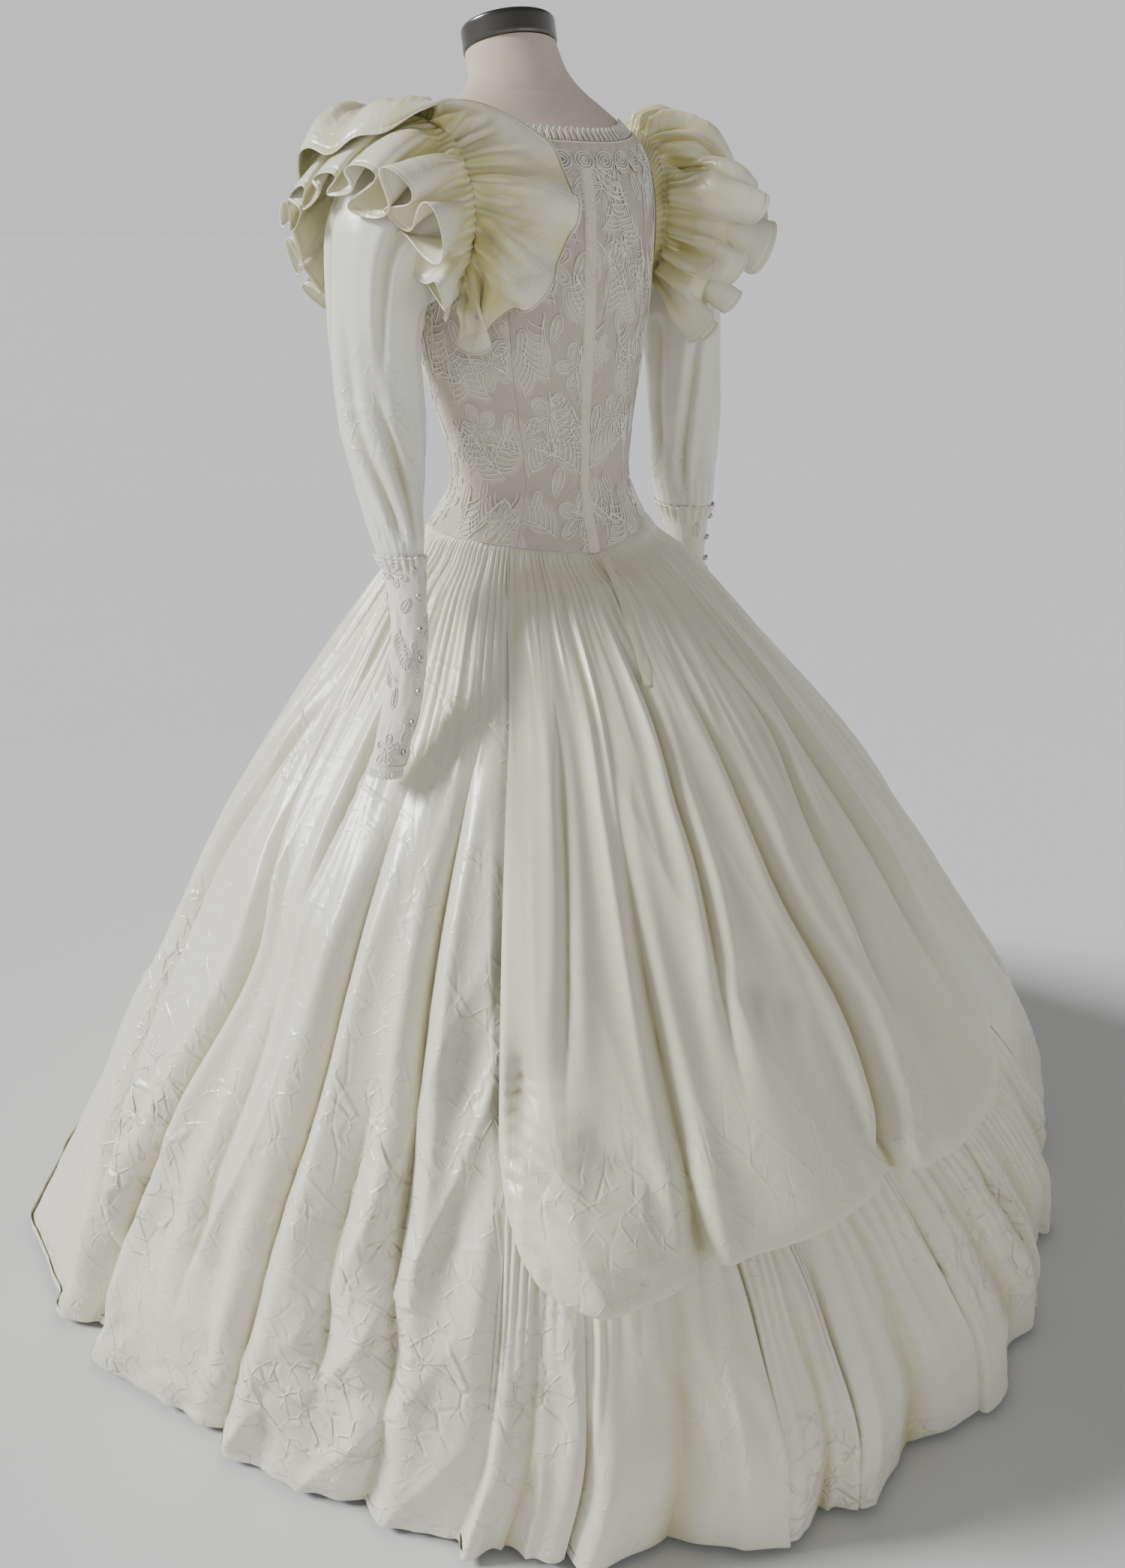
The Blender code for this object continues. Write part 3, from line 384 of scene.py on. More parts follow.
# Main creases of the skirts: depth, half width, then the line as (height, angle) from its top
LEFT_CREASES = (
    (0.014, 0.016, ((0.93, 92), (0.80, 97), (0.62, 103), (0.45, 102), (0.28, 96), (0.08, 88))),
    (0.012, 0.014, ((0.90, 83), (0.74, 88), (0.58, 83), (0.42, 87), (0.25, 89), (0.04, 90))),
    (0.013, 0.015, ((0.80, 60), (0.60, 64), (0.38, 66), (0.14, 67.5))),
    (0.007, 0.012, ((0.30, 67), (0.04, 68))),
    (0.012, 0.013, ((0.86, 46.5), (0.66, 51), (0.42, 52), (0.16, 50.5))),
    (0.006, 0.012, ((0.30, 51), (0.04, 50.5))),
    (0.006, 0.012, ((0.60, 74), (0.42, 76), (0.16, 77))),
    (0.006, 0.012, ((0.52, 57), (0.34, 58.5), (0.14, 58))),
    (0.006, 0.010, ((0.94, 70), (0.84, 71.5), (0.72, 73), (0.60, 75))),
    (0.008, 0.014, ((0.94, 104), (0.78, 109), (0.56, 112), (0.30, 110))),
)
RIGHT_CREASES = (
    (0.014, 0.013, ((0.90, -50), (0.70, -46), (0.50, -47), (0.28, -55), (0.04, -62))),
    (0.015, 0.014, ((0.92, -64), (0.72, -66), (0.48, -64), (0.24, -70), (0.04, -72))),
    (0.012, 0.012, ((0.82, -80), (0.60, -84), (0.38, -82), (0.12, -85))),
    (0.014, 0.014, ((0.93, -96), (0.74, -99), (0.50, -103), (0.24, -99), (0.04, -101))),
    (0.008, 0.010, ((0.66, -110), (0.46, -112), (0.20, -110))),
)
FRONT_CREASES = (
    (0.007, 0.014, ((0.92, 134), (0.70, 137), (0.42, 137), (0.05, 139))),
    (0.012, 0.013, ((0.88, 146), (0.62, 144), (0.36, 148), (0.06, 146))),
    (0.016, 0.015, ((0.93, 161), (0.72, 164), (0.44, 160), (0.05, 163))),
    (0.011, 0.012, ((0.70, 176), (0.46, 179), (0.18, 177))),
    (0.016, 0.014, ((0.92, 192), (0.68, 189), (0.40, 194), (0.05, 191))),
    (0.012, 0.013, ((0.86, 209), (0.60, 206), (0.32, 210), (0.05, 207))),
    (0.014, 0.014, ((0.93, 226), (0.70, 229), (0.42, 225), (0.06, 228))),
)
DRAPE_CREASES = (
    (0.010, 0.010, ((0.955, 10), (0.84, 9), (0.76, 10.5), (0.70, 11), (0.60, 13), (0.50, 14))),
    (0.014, 0.013, ((0.945, -9), (0.86, -3), (0.78, -2.5), (0.66, -1.5), (0.55, -4), (0.47, -3),
                    (0.40, -1), (0.10, -1))),
    (0.009, 0.011, ((0.91, -18), (0.80, -19), (0.70, -13), (0.60, -11), (0.50, -9.5))),
    (0.010, 0.011, ((0.80, 21.5), (0.66, 22.5), (0.50, 22.0), (0.40, 22.0), (0.10, 22.0))),
    (0.006, 0.010, ((0.88, 31), (0.74, 31.5), (0.60, 33), (0.50, 34))),
    (0.006, 0.012, ((0.86, -29), (0.74, -26), (0.62, -24), (0.50, -22))),
)
# Small pinches in the drape: height, angle, depth, half size
DRAPE_PINCHES = ((0.590, 9.5, 0.010, 0.018), (0.570, 4.5, 0.008, 0.016), (0.455, 25.0, 0.008, 0.020))

# Rings of the sleeves: centre, lean of the ring from upright to level, half sizes, turn in plan
LEFT_RING = (0.1590, 0.000, 1.349, 0, 0.0933, 0.1060, 8)
RIGHT_RING = (0.1590, -0.018, 1.349, 0, 0.0933, 0.0670, 0)
LEFT_SLEEVE = (
    (0.1615, 0.000, 1.349, 1, 0.0913, 0.1042, 8),
    (0.189, 0.000, 1.330, 16, 0.0830, 0.0890, 4),
    (0.211, 0.003, 1.295, 35, 0.0720, 0.0790, 0),
    (0.221, 0.008, 1.246, 59, 0.0520, 0.0700, 0),
    (0.228, 0.018, 1.175, 84, 0.0450, 0.0660, 2),
    (0.233, 0.036, 1.120, 90, 0.0430, 0.0610, 6),
    (0.239, 0.060, 1.068, 88, 0.0360, 0.0480, 12),
    (0.247, 0.094, 0.996, 86, 0.0220, 0.0290, 22),
)
RIGHT_SLEEVE = (
    (0.1615, -0.018, 1.349, 1, 0.0913, 0.0650, 0),
    (0.189, -0.016, 1.330, 16, 0.0820, 0.0630, 0),
    (0.211, -0.003, 1.295, 35, 0.0720, 0.0670, 0),
    (0.216, 0.010, 1.246, 59, 0.0460, 0.0650, 0),
    (0.217, 0.020, 1.175, 84, 0.0360, 0.0620, 0),
    (0.221, 0.024, 1.105, 90, 0.0350, 0.0600, 0),
    (0.230, 0.018, 1.045, 90, 0.0370, 0.0540, -4),
    (0.244, 0.006, 0.985, 92, 0.0310, 0.0440, -8),
)
LEFT_CUFF = (
    (0.262, 0.135, 0.958, 76, 0.0165, 0.0240, 26),
    (0.275, 0.160, 0.918, 76, 0.0160, 0.0215, 28),
    (0.290, 0.175, 0.876, 80, 0.0160, 0.0225, 30),
    (0.308, 0.186, 0.834, 78, 0.0155, 0.0215, 30),
    (0.330, 0.198, 0.790, 78, 0.0165, 0.0190, 30),
)
RIGHT_CUFF = (
    (0.260, -0.006, 0.942, 78, 0.0240, 0.0330, -8),
    (0.283, -0.020, 0.890, 68, 0.0165, 0.0240, -8),
    (0.316, -0.031, 0.842, 64, 0.0160, 0.0230, -8),
    (0.352, -0.040, 0.796, 62, 0.0155, 0.0215, -8),
    (0.388, -0.046, 0.754, 62, 0.0165, 0.0190, -8),
)
ARMHOLE_CLEAR = 0.0015
SLEEVE_STEPS = 152
SLEEVE_LENGTH = 0.42
ARM_RADIUS = 0.06
CUFF_STEPS = 112
CUFF_LENGTH = 0.19
CUFF_RADIUS = 0.021
CUFF_LOOPS = 26
CUFF_CORD_LIFT = 0.0006

# Free edges of the shoulder ruffles: angle round the ring, edge point, lift, wave
RUFFLE_COLUMNS = ("psi", "edge_x", "edge_y", "edge_z", "lift", "wave")
LEFT_INNER = Table(RUFFLE_COLUMNS, (
    (138, 0.152, 0.070, 1.212, 0.006, 0.004),
    (122, 0.128, 0.108, 1.226, 0.010, 0.006),
    (106, 0.088, 0.130, 1.262, 0.012, 0.006),
    (88, 0.044, 0.138, 1.318, 0.010, 0.005),
    (68, 0.030, 0.132, 1.368, 0.010, 0.005),
    (62, 0.030, 0.118, 1.394, 0.004, 0.003),
    (52, 0.046, 0.098, 1.425, 0.006, 0.000),
    (42, 0.080, 0.076, 1.446, 0.006, 0.000),
    (30, 0.130, 0.064, 1.459, 0.006, 0.000),
    (18, 0.178, 0.066, 1.446, 0.012, 0.000),
    (4, 0.220, 0.050, 1.424, 0.026, 0.001),
    (-16, 0.256, 0.006, 1.414, 0.030, 0.003),
    (-40, 0.264, -0.070, 1.396, 0.030, 0.005),
    (-75, 0.190, -0.155, 1.340, 0.024, 0.006),
    (-110, 0.110, -0.140, 1.255, 0.014, 0.006),
    (-138, 0.150, -0.085, 1.205, 0.008, 0.004),
))
LEFT_OUTER = Table(RUFFLE_COLUMNS, (
    (138, 0.176, 0.092, 1.252, 0.004, 0.010),
    (112, 0.205, 0.112, 1.285, 0.006, 0.017),
    (80, 0.222, 0.112, 1.345, 0.006, 0.018),
    (45, 0.246, 0.078, 1.372, 0.014, 0.012),
    (10, 0.268, 0.018, 1.378, 0.018, 0.006),
    (-25, 0.276, -0.045, 1.362, 0.018, 0.005),
    (-60, 0.266, -0.106, 1.335, 0.004, 0.009),
    (-100, 0.236, -0.120, 1.270, 0.004, 0.010),
    (-138, 0.176, -0.090, 1.235, 0.004, 0.006),
))
RIGHT_INNER = Table(RUFFLE_COLUMNS, (
    (138, 0.168, 0.098, 1.222, 0.010, 0.007),
    (112, 0.190, 0.128, 1.280, 0.016, 0.012),
    (80, 0.212, 0.136, 1.345, 0.020, 0.014),
    (45, 0.236, 0.092, 1.370, 0.026, 0.011),
    (10, 0.256, 0.026, 1.394, 0.034, 0.007),
    (-25, 0.262, -0.045, 1.384, 0.034, 0.006),
    (-60, 0.250, -0.125, 1.350, 0.024, 0.009),
    (-100, 0.200, -0.142, 1.262, 0.014, 0.009),
    (-138, 0.168, -0.098, 1.215, 0.010, 0.006),
))
RIGHT_OUTER = Table(RUFFLE_COLUMNS, (
    (138, 0.190, 0.088, 1.222, 0.004, 0.007),
    (112, 0.222, 0.106, 1.262, 0.004, 0.011),
    (80, 0.248, 0.104, 1.318, 0.008, 0.013),
    (45, 0.264, 0.072, 1.344, 0.014, 0.011),
    (10, 0.274, 0.014, 1.360, 0.016, 0.007),
    (-25, 0.274, -0.040, 1.350, 0.016, 0.006),
    (-60, 0.270, -0.090, 1.322, 0.008, 0.009),
    (-100, 0.236, -0.100, 1.258, 0.002, 0.009),
    (-138, 0.196, -0.070, 1.225, 0.002, 0.006),
))
RUFFLE_REACH = 138.0
RUFFLE_WAVES = 10
RUFFLE_GATHERS = 58.0
RUFFLE_STEPS = 300
RUFFLE_SEAT = 0.0016

# Trims
LAP_HALF_ANGLE = 3.3
LAP_STITCH = 0.22         # row of stitches, as a share in from the lap's edge
NECK_LACE_DEPTH = 0.034
NECK_LACE_STAND = 0.010
NECK_TONGUES = 9
PLACKET_LENGTH = 0.115
NECK_LOOPS = 31
BUTTON_RADIUS = 0.0043
BUTTON_HEIGHT = 0.0034
# Section of a button's dome: share of its height, share of its radius
BUTTON_PROFILE = ((0.0, 0.0), (0.0, 0.72), (0.10, 0.94), (0.24, 1.0), (0.45, 0.95), (0.68, 0.80),
                  (0.86, 0.55), (0.96, 0.28), (1.0, 0.0))
BUTTON_SIDES = 6          # corners of a button solid's seat and of its top
BUTTONS = 7
LOOP_REACH = 0.0078       # half length and half width of a button's thread loop
LOOP_HALF_WIDTH = 0.0030
LACE_STEP = 0.034         # half drop of the lace's motifs, across and up
LACE_RISE = 0.044
LACE_SIZES = {"flower": 0.022, "plume": 0.023, "leaf": 0.022}
CUFF_SIZES = {"flower": 0.0125, "leaf": 0.013, "plume": 0.011}
CORD_RADIUS = 0.00085


def smoothstep(value, start=0.0, end=1.0):
    t = np.clip((value - start) / (end - start), 0.0, 1.0)
    return t * t * (3.0 - 2.0 * t)


def bell(value, middle, width):
    """1 at the middle, falling softly to 0 at about two widths from it."""
    return np.exp(-((value - middle) / width) ** 2)


# Points of the random lattice each way
LATTICE = 61
# Layers of crushed facets: turn, size, length over width, share of the depth
CRUSH_WAYS = ((0.55, 1.0, 1.9, 0.34), (-0.75, 0.8, 1.7, 0.28), (1.25, 0.45, 1.6, 0.14))


def lattice_corners(x, y, seed):
    """Random values at the four lattice points round a place, and where it lies between them."""
    lattice = np.random.default_rng(seed).uniform(-1.0, 1.0, (LATTICE, LATTICE))
    x, y = np.broadcast_arrays(np.asarray(x, float), np.asarray(y, float))
    column = np.floor(x).astype(int)
    row = np.floor(y).astype(int)
    corners = [lattice[(column + aside) % LATTICE, (row + under) % LATTICE]
               for aside, under in ((0, 0), (1, 0), (0, 1), (1, 1))]
    return corners, x - column, y - row


def noise(x, y, seed):
    """Smooth noise from -1 to 1 whose features are one unit wide."""
    (here, beside, below, corner), across, down = lattice_corners(x, y, seed)
    across = smoothstep(across)
    down = smoothstep(down)
    upper = here * (1 - across) + beside * across
    lower = below * (1 - across) + corner * across
    return upper * (1 - down) + lower * down


def ridges(x, y, seed, sharpness=2.0):
    """Noise folded into narrow ridges, 1 high, with wider troughs between them."""
    return 1.0 - sharpness * np.abs(noise(x, y, seed))


def facets(x, y, seed):
    """Flat facets that meet in straight ridges and troughs, about one unit wide, from -1 to 1."""
    (here, beside, below, corner), across, down = lattice_corners(x, y, seed)
    near = here + across * (beside - here) + down * (below - here)
    far = corner + (1 - across) * (below - corner) + (1 - down) * (beside - corner)
    return np.where(across + down < 1.0, near, far)


def crushed(x, y, seed, size):
    """Crushed taffeta: slanting flat facets with crisp edges, from about -0.5 to 0.5."""
    height = 0.0
    for layer, (turn, finer, long, weight) in enumerate(CRUSH_WAYS):
        along = (x * math.cos(turn) + y * math.sin(turn)) / (finer * size)
        aside = (y * math.cos(turn) - x * math.sin(turn)) / (long * finer * size)
        bend = 0.30 * noise(0.45 * along, 0.45 * aside, seed + 40 + layer)
        height = height + weight * facets(along + bend, aside - bend, seed + layer)
    return height


def crushed_cloth(x, y, sizes, broad_seed, fine_seed):
    """Broad crushed facets with finer ones over them."""
    depth, size, fine_depth, fine_size = sizes
    return depth * crushed(x, y, broad_seed, size) + fine_depth * crushed(x, y, fine_seed, fine_size)


def body_surface(phi, z, out=0.0):
    """Points on the body sections at height z, moved out from them."""
    turn = np.radians(phi)
    lean = np.radians(BODY("lean", z))
    back = (BODY("half_depth", z) + out) * np.cos(turn)
    x = (BODY("half_width", z) + out) * np.sin(turn)
    return np.stack([x, BODY("centre_y", z) + back * np.cos(lean), z + back * np.sin(lean)], -1)


def skirt_radius(z):
    return SKIRT("half_width", z)


def swing(phi, z):
    hem = SWING("out", (np.asarray(phi) + 180.0) % 360.0 - 180.0)
    return hem * np.clip(1.0 - np.asarray(z) / SWING_TOP_Z, 0.0, 1.0) ** SWING_FADE


def skirt_surface(phi, z, out=0.0):
    """Points on the skirt at height z, moved out level."""
    turn = np.radians(phi)
    out = out + swing(phi, z)
    half_width = SKIRT("half_width", z)
    x = (half_width + out) * np.sin(turn)
    y = SKIRT("centre_y", z) + (half_width * SKIRT("roundness", z) + out) * np.cos(turn)
    return np.stack([x, y, z + 0.0 * x], -1)


def waist_z(phi):
    return WAIST_BACK_Z + (WAIST_SIDE_Z - WAIST_BACK_Z) * np.abs(np.sin(np.radians(phi)))


def neck_z(phi):
    side = np.abs(np.sin(np.radians(phi))) ** 3
    low = np.where(np.cos(np.radians(phi)) > 0, NECK_BACK_Z, NECK_FRONT_Z)
    return low + (SHOULDER_Z - low) * side


def edge_angle(edge, z):
    """Where an edge that is at one of the back's two corners at the waist runs at height z."""
    if edge == PANEL_EDGE:
        return EDGES("left", z)
    if edge % 360.0 == 360.0 - PANEL_EDGE:
        return edge + PANEL_EDGE - EDGES("right", z)
    return edge + 0.0 * z


def seam_angle(share, start, end, z, trims=(0.0, 0.0)):
    """Angle at height z of a line that starts a share of the way across at the waist."""
    first = edge_angle(start, z) + np.degrees(trims[0] / skirt_radius(z))
    last = edge_angle(end, z) - np.degrees(trims[1] / skirt_radius(z))
    return first + (last - first) * share


def fold_wave(phi, folds_per_degree, phase):
    """Uneven soft fold, from 0 in a trough to 1 on a ridge."""
    drift = sum(size * np.sin(np.radians(rate * phi + phase)) for size, rate in FOLD_DRIFT)
    return 0.5 + 0.5 * np.cos(2 * np.pi * phi * folds_per_degree + drift + math.radians(phase))


def trough(away, depth, ridge, ridge_at):
    """Section of a crease: deepest on its line, with a low ridge at each side."""
    return depth * np.exp(-away**1.3) - ridge * bell(away, ridge_at, 1.1)


def creases(angle, z, lines):
    """Troughs along given lines, sharp at the bottom, each with a low ridge at both sides."""
    relief = np.zeros(np.broadcast(angle, z).shape)
    for depth, width, line in lines:
        heights = np.array([point[0] for point in line])[::-1]
        angles = np.array([point[1] for point in line], float)[::-1]
        middle = Table(("z", "phi"), list(zip(heights, angles)))("phi", z)
        reach = max(0.08, 0.35 * (heights[-1] - heights[0]))
        fade = smoothstep(heights[-1] - z, -0.01, reach)
        if heights[0] > 0.12:
            fade = fade * smoothstep(z - heights[0], -0.01, reach)
        wide = width * (0.50 + 1.2 * (1.0 - z))
        away = np.abs(np.radians(angle - middle) * skirt_radius(z)) / wide
        section = trough(away, 1.25, 0.60, 1.6) + 0.35 * np.exp(-away / 0.16)
        relief -= depth * (1.0 + 0.5 * (1.0 - z)) * fade * section
    return relief


# Meshes

def link(name, points, faces, material, smooth=True):
    mesh = bpy.data.meshes.new(name)
    mesh.from_pydata(points.reshape(-1, 3).tolist(), [], faces.tolist())
    mesh.update()
    if smooth:
        mesh.shade_smooth()
    item = bpy.data.objects.new(name, mesh)
    bpy.context.scene.collection.objects.link(item)
    mesh.materials.append(material)
    return item


def grid_faces(columns, rows, closed):
    column = np.arange(columns if closed else columns - 1)[:, None]
    row = np.arange(rows - 1)[None, :]
    first = column * rows + row
    second = ((column + 1) % columns) * rows + row
    return np.stack([first, second, second + 1, first + 1], -1).reshape(-1, 4)


def facing_out(grid, closed, middles):
    """The faces of a grid, columns by rows, turned so that they look away from its middles."""
    faces = grid_faces(*grid.shape[:2], closed)
    points = grid.reshape(-1, 3)
    a, b, c, d = (points[faces[:, corner]] for corner in range(4))
    away = (a + b + c + d) / 4.0 - middles.reshape(-1, 3)[faces[:, 0]]
    if (np.cross(c - a, d - b) * away).sum() < 0.0:
        return faces[:, ::-1]
    return faces


def cloth_layers(mesh, shape, fold, crush):
    """Marks each point of a cloth with its depth in a fold, which sets the taffeta's painted shade (the lace keeps its
    motif fill in it), and how crushed it is.
    """
    for label, values in (("fold", fold), ("crush", crush)):
        layer = mesh.attributes.new(label, "FLOAT", "POINT")
        layer.data.foreach_set("value", np.broadcast_to(values, shape).astype(np.float32).ravel())


def sheet_mesh(name, grid, material, closed=False, fold=None, centre=BODY_MIDDLE, crush=0.3):
    """A sheet that faces away from an upright line."""
    middles = grid.copy()
    middles[..., :2] = centre
    item = link(name, grid, facing_out(grid, closed, middles), material)
    if fold is not None:
        cloth_layers(item.data, grid.shape[:2], fold, crush)
    return item


def tube_mesh(name, grid, material, fold, crush=0.3):
    """A tube that faces away from its own middle."""
    middles = np.broadcast_to(grid.mean(0, keepdims=True), grid.shape)
    item = link(name, grid, facing_out(grid, True, middles), material)
    cloth_layers(item.data, grid.shape[:2], fold, crush)
    return item


def grid_normals(grid, closed=False):
    if closed:
        along = np.roll(grid, -1, axis=0) - np.roll(grid, 1, axis=0)
    else:
        along = np.gradient(grid, axis=0)
    normals = np.cross(along, np.gradient(grid, axis=1))
    return normals / np.maximum(np.linalg.norm(normals, axis=2, keepdims=True), 1e-12)


def turn_under(grid, depth, gap=0.0018):
    """Adds a hem that is folded to the inside of a skirt and stands up behind it."""
    edge = grid[:, -1]
    inward = -np.concatenate([edge[:, :2] - np.array(BODY_MIDDLE), np.zeros((len(edge), 1))], 1)
    inward /= np.linalg.norm(inward, axis=1, keepdims=True)
    up = np.array([0.0, 0.0, 1.0])
    rows = [edge + inward * gap * 0.7 - up * 0.0004, edge + inward * gap + up * 0.001,
            edge + inward * (gap + 0.0006) + up * depth]
    return np.concatenate([grid] + [row[:, None] for row in rows], 1)


class Cords:
    """Many fine cords joined into one mesh, each a four-sided tube along a run of points."""

    def __init__(self):
        self.points = []
        self.faces = []
        self.count = 0

    def add(self, run, normals, radius, closed=False, flat=0.8):
        run = np.asarray(run, float)
        if len(run) < 3:
            return
        if closed:
            along = np.roll(run, -1, axis=0) - np.roll(run, 1, axis=0)
        else:
            along = np.gradient(run, axis=0)
        along /= np.maximum(np.linalg.norm(along, axis=1, keepdims=True), 1e-9)
        side = np.cross(along, normals)
        side /= np.maximum(np.linalg.norm(side, axis=1, keepdims=True), 1e-9)
        lift = np.cross(side, along)
        corners = (side, lift * flat, -side, -lift * flat)
        ring = np.stack([run + corner * radius for corner in corners], 1)
        faces = []
        spans = len(run) if closed else len(run) - 1
        for index in range(spans):
            here = self.count + index * 4
            after = self.count + ((index + 1) % len(run)) * 4
            for corner in range(4):
                beside = (corner + 1) % 4
                faces.append((here + corner, here + beside, after + beside, after + corner))
        self.points.append(ring.reshape(-1, 3))
        self.faces += faces
        self.count += 4 * len(run)

    def build(self, name, material):
        return link(name, np.concatenate(self.points), np.array(self.faces), material)


# Materials

def set_inputs(tree, node, inputs):
    """Joins an input to the socket given for it, or sets the input's own value."""
    for key, value in inputs.items():
        if isinstance(value, bpy.types.NodeSocket):
            tree.links.new(value, node.inputs[key])
        else:
            node.inputs[key].default_value = value


def add_node(tree, kind, inputs=None, **settings):
    node = tree.nodes.new(kind)
    for key, value in settings.items():
        setattr(node, key, value)
    set_inputs(tree, node, inputs or {})
    return node


def combine(tree, operation, *values):
    """A sum, product or the like of sockets and numbers."""
    return add_node(tree, "ShaderNodeMath", dict(enumerate(values)), operation=operation).outputs[0]


def remap(tree, value, low, high, first=0.0, last=1.0, **settings):
    """Carries a value from low to high over to first to last."""
    limits = {0: value, 1: low, 2: high, 3: first, 4: last}
    return add_node(tree, "ShaderNodeMapRange", limits, **settings).outputs[0]


def clamped(tree, value):
    return add_node(tree, "ShaderNodeClamp", {0: value}).outputs[0]


def clouds(tree, vector, scale, detail, **more):
    """Soft noise from 0 to 1."""
    inputs = {"Vector": vector, "Scale": scale, "Detail": detail, **more}
    return add_node(tree, "ShaderNodeTexNoise", inputs).outputs["Fac"]


def point_value(tree, label):
    """A value that a cloth's points carry."""
    return add_node(tree, "ShaderNodeAttribute", attribute_name=label).outputs["Fac"]


def mix_colours(tree, factor, first, second):
    """The first colour where the factor is 0, the second where it is 1."""
    first, second = (one if isinstance(one, bpy.types.NodeSocket) else (*one, 1.0)
                     for one in (first, second))
    inputs = {0: factor, 6: first, 7: second}
    return add_node(tree, "ShaderNodeMix", inputs, data_type="RGBA").outputs[2]


def darker(colour, share):
    return tuple(value * share for value in colour)


def bump(tree, height, strength, distance, **more):
    inputs = {"Height": height, "Strength": strength, "Distance": distance, **more}
    return add_node(tree, "ShaderNodeBump", inputs).outputs["Normal"]


def new_group(name, inputs, outputs):
    """A group of nodes whose sockets are numbers, but for one called Vector."""
    tree = bpy.data.node_groups.new(name, "ShaderNodeTree")
    for way, labels in (("INPUT", inputs), ("OUTPUT", outputs)):
        for label in labels:
            kind = "NodeSocketVector" if label == "Vector" else "NodeSocketFloat"
            tree.interface.new_socket(label, in_out=way, socket_type=kind)
    return tree, tree.nodes.new("NodeGroupInput").outputs, tree.nodes.new("NodeGroupOutput").inputs


def weave_group():
    """Fine over and under threads."""
    tree, source, target = new_group("fine_weave", ("Vector", "Scale"), ("Height",))
    waves = []
    for axis in ("X", "Z"):
        inputs = {"Vector": source["Vector"], "Scale": source["Scale"], "Distortion": 0.4}
        waves.append(add_node(tree, "ShaderNodeTexWave", inputs, bands_direction=axis).outputs["Fac"])
    tree.links.new(combine(tree, "MULTIPLY", *waves), target["Height"])
    return tree


# Layers of fine creases: turn, how much finer, height
CREASE_LAYERS = (
    ((0.75, 0.10, 0.6), 1.0, 1.0),
    ((-0.70, 0.50, 0.3), 1.9, 0.5),
    ((0.10, -0.80, 0.9), 1.4, -0.7),
)
CREASE_STRETCH = (1.0, 1.0, 2.6)


def crush_group():
    """Fine straight creases, broken off here and there, as they stay in patches of crushed taffeta."""
    tree, source, target = new_group("crush", ("Vector", "Scale", "Patches"), ("Height",))
    total = None
    for turn, finer_by, weight in CREASE_LAYERS:
        laid = add_node(tree, "ShaderNodeMapping",
                        {"Vector": source["Vector"], "Rotation": turn, "Scale": CREASE_STRETCH},
                        vector_type="TEXTURE").outputs[0]
        scale = combine(tree, "MULTIPLY", source["Scale"], finer_by)
        edges = add_node(tree, "ShaderNodeTexVoronoi", {"Vector": laid, "Scale": scale},
                         feature="DISTANCE_TO_EDGE").outputs["Distance"]
        crease = remap(tree, edges, 0.0, 0.10, 1.0, 0.0, interpolation_type="SMOOTHSTEP")
        kept = remap(tree, clouds(tree, laid, scale, 1.0), 0.46, 0.60)
        line = combine(tree, "MULTIPLY", crease, kept)
        layer = combine(tree, "MULTIPLY", line, weight)
        total = layer if total is None else combine(tree, "ADD", total, layer)
    patch = remap(tree, clouds(tree, source["Vector"], source["Patches"], 2.0), 0.40, 0.60, 0.35, 1.0)
    tree.links.new(combine(tree, "MULTIPLY", total, patch), target["Height"])
    return tree


def net_group():
    """Fine lace net: raised threads round small cells."""
    tree, source, target = new_group("lace_net", ("Vector", "Scale"), ("Height", "Thread"))
    cells = add_node(tree, "ShaderNodeTexVoronoi",
                     {"Vector": source["Vector"], "Scale": source["Scale"], "Randomness": 0.45},
                     feature="DISTANCE_TO_EDGE")
    thread = remap(tree, cells.outputs["Distance"], 0.04, 0.22, 1.0, 0.0)
    tree.links.new(thread, target["Height"])
    tree.links.new(thread, target["Thread"])
    return tree


def tone_group():
    """Soft uneven shade over a cloth, from 0 to 1."""
    tree, source, target = new_group("uneven_tone", ("Vector", "Scale"), ("Tone",))
    spots = clouds(tree, source["Vector"], source["Scale"], 4.0, Roughness=0.6)
    tree.links.new(remap(tree, spots, 0.3, 0.7), target["Tone"])
    return tree


WEAVE = weave_group()
CRUSH = crush_group()
NET = net_group()
TONE = tone_group()


def new_material(name):
    material = bpy.data.materials.new(name)
    material.use_nodes = True
    tree = material.node_tree
    shader = tree.nodes["Principled BSDF"]
    place = add_node(tree, "ShaderNodeTexCoord").outputs["Object"]
    return material, tree, shader, place


def use_group(tree, group, place, scale, **more):
    inputs = {"Vector": place, "Scale": scale, **more}
    return add_node(tree, "ShaderNodeGroup", inputs, node_tree=group).outputs


def taffeta(name, light, painted_shade_colour, crush_scale, crush_depth, roughness):
    """Crisp ivory weave, painted deeper and yellower in its folds as shade, creased where it was crushed."""
    material, tree, shader, place = new_material(name)
    tone = use_group(tree, TONE, place, 3.0)["Tone"]
    crush = use_group(tree, CRUSH, place, crush_scale, Patches=7.0)["Height"]
    weave = use_group(tree, WEAVE, place, 420.0)["Height"]
    # Painted shade: the fold value mixes the colour towards the darker, yellower one
    shade = clamped(tree, combine(tree, "MULTIPLY_ADD", tone, 0.25, point_value(tree, "fold")))
    height = combine(tree, "MULTIPLY", crush, point_value(tree, "crush"))
    set_inputs(tree, shader, {
        "Base Color": mix_colours(tree, shade, light, painted_shade_colour),
        "Roughness": remap(tree, tone, 0.0, 1.0, roughness - 0.06, roughness + 0.08),
        "Sheen Weight": 0.10,
        "Sheen Roughness": 0.35,
        "Specular IOR Level": 0.70,
        "Normal": bump(tree, height, 1.0, crush_depth, Normal=bump(tree, weave, 0.10, 0.0004)),
    })
    return material


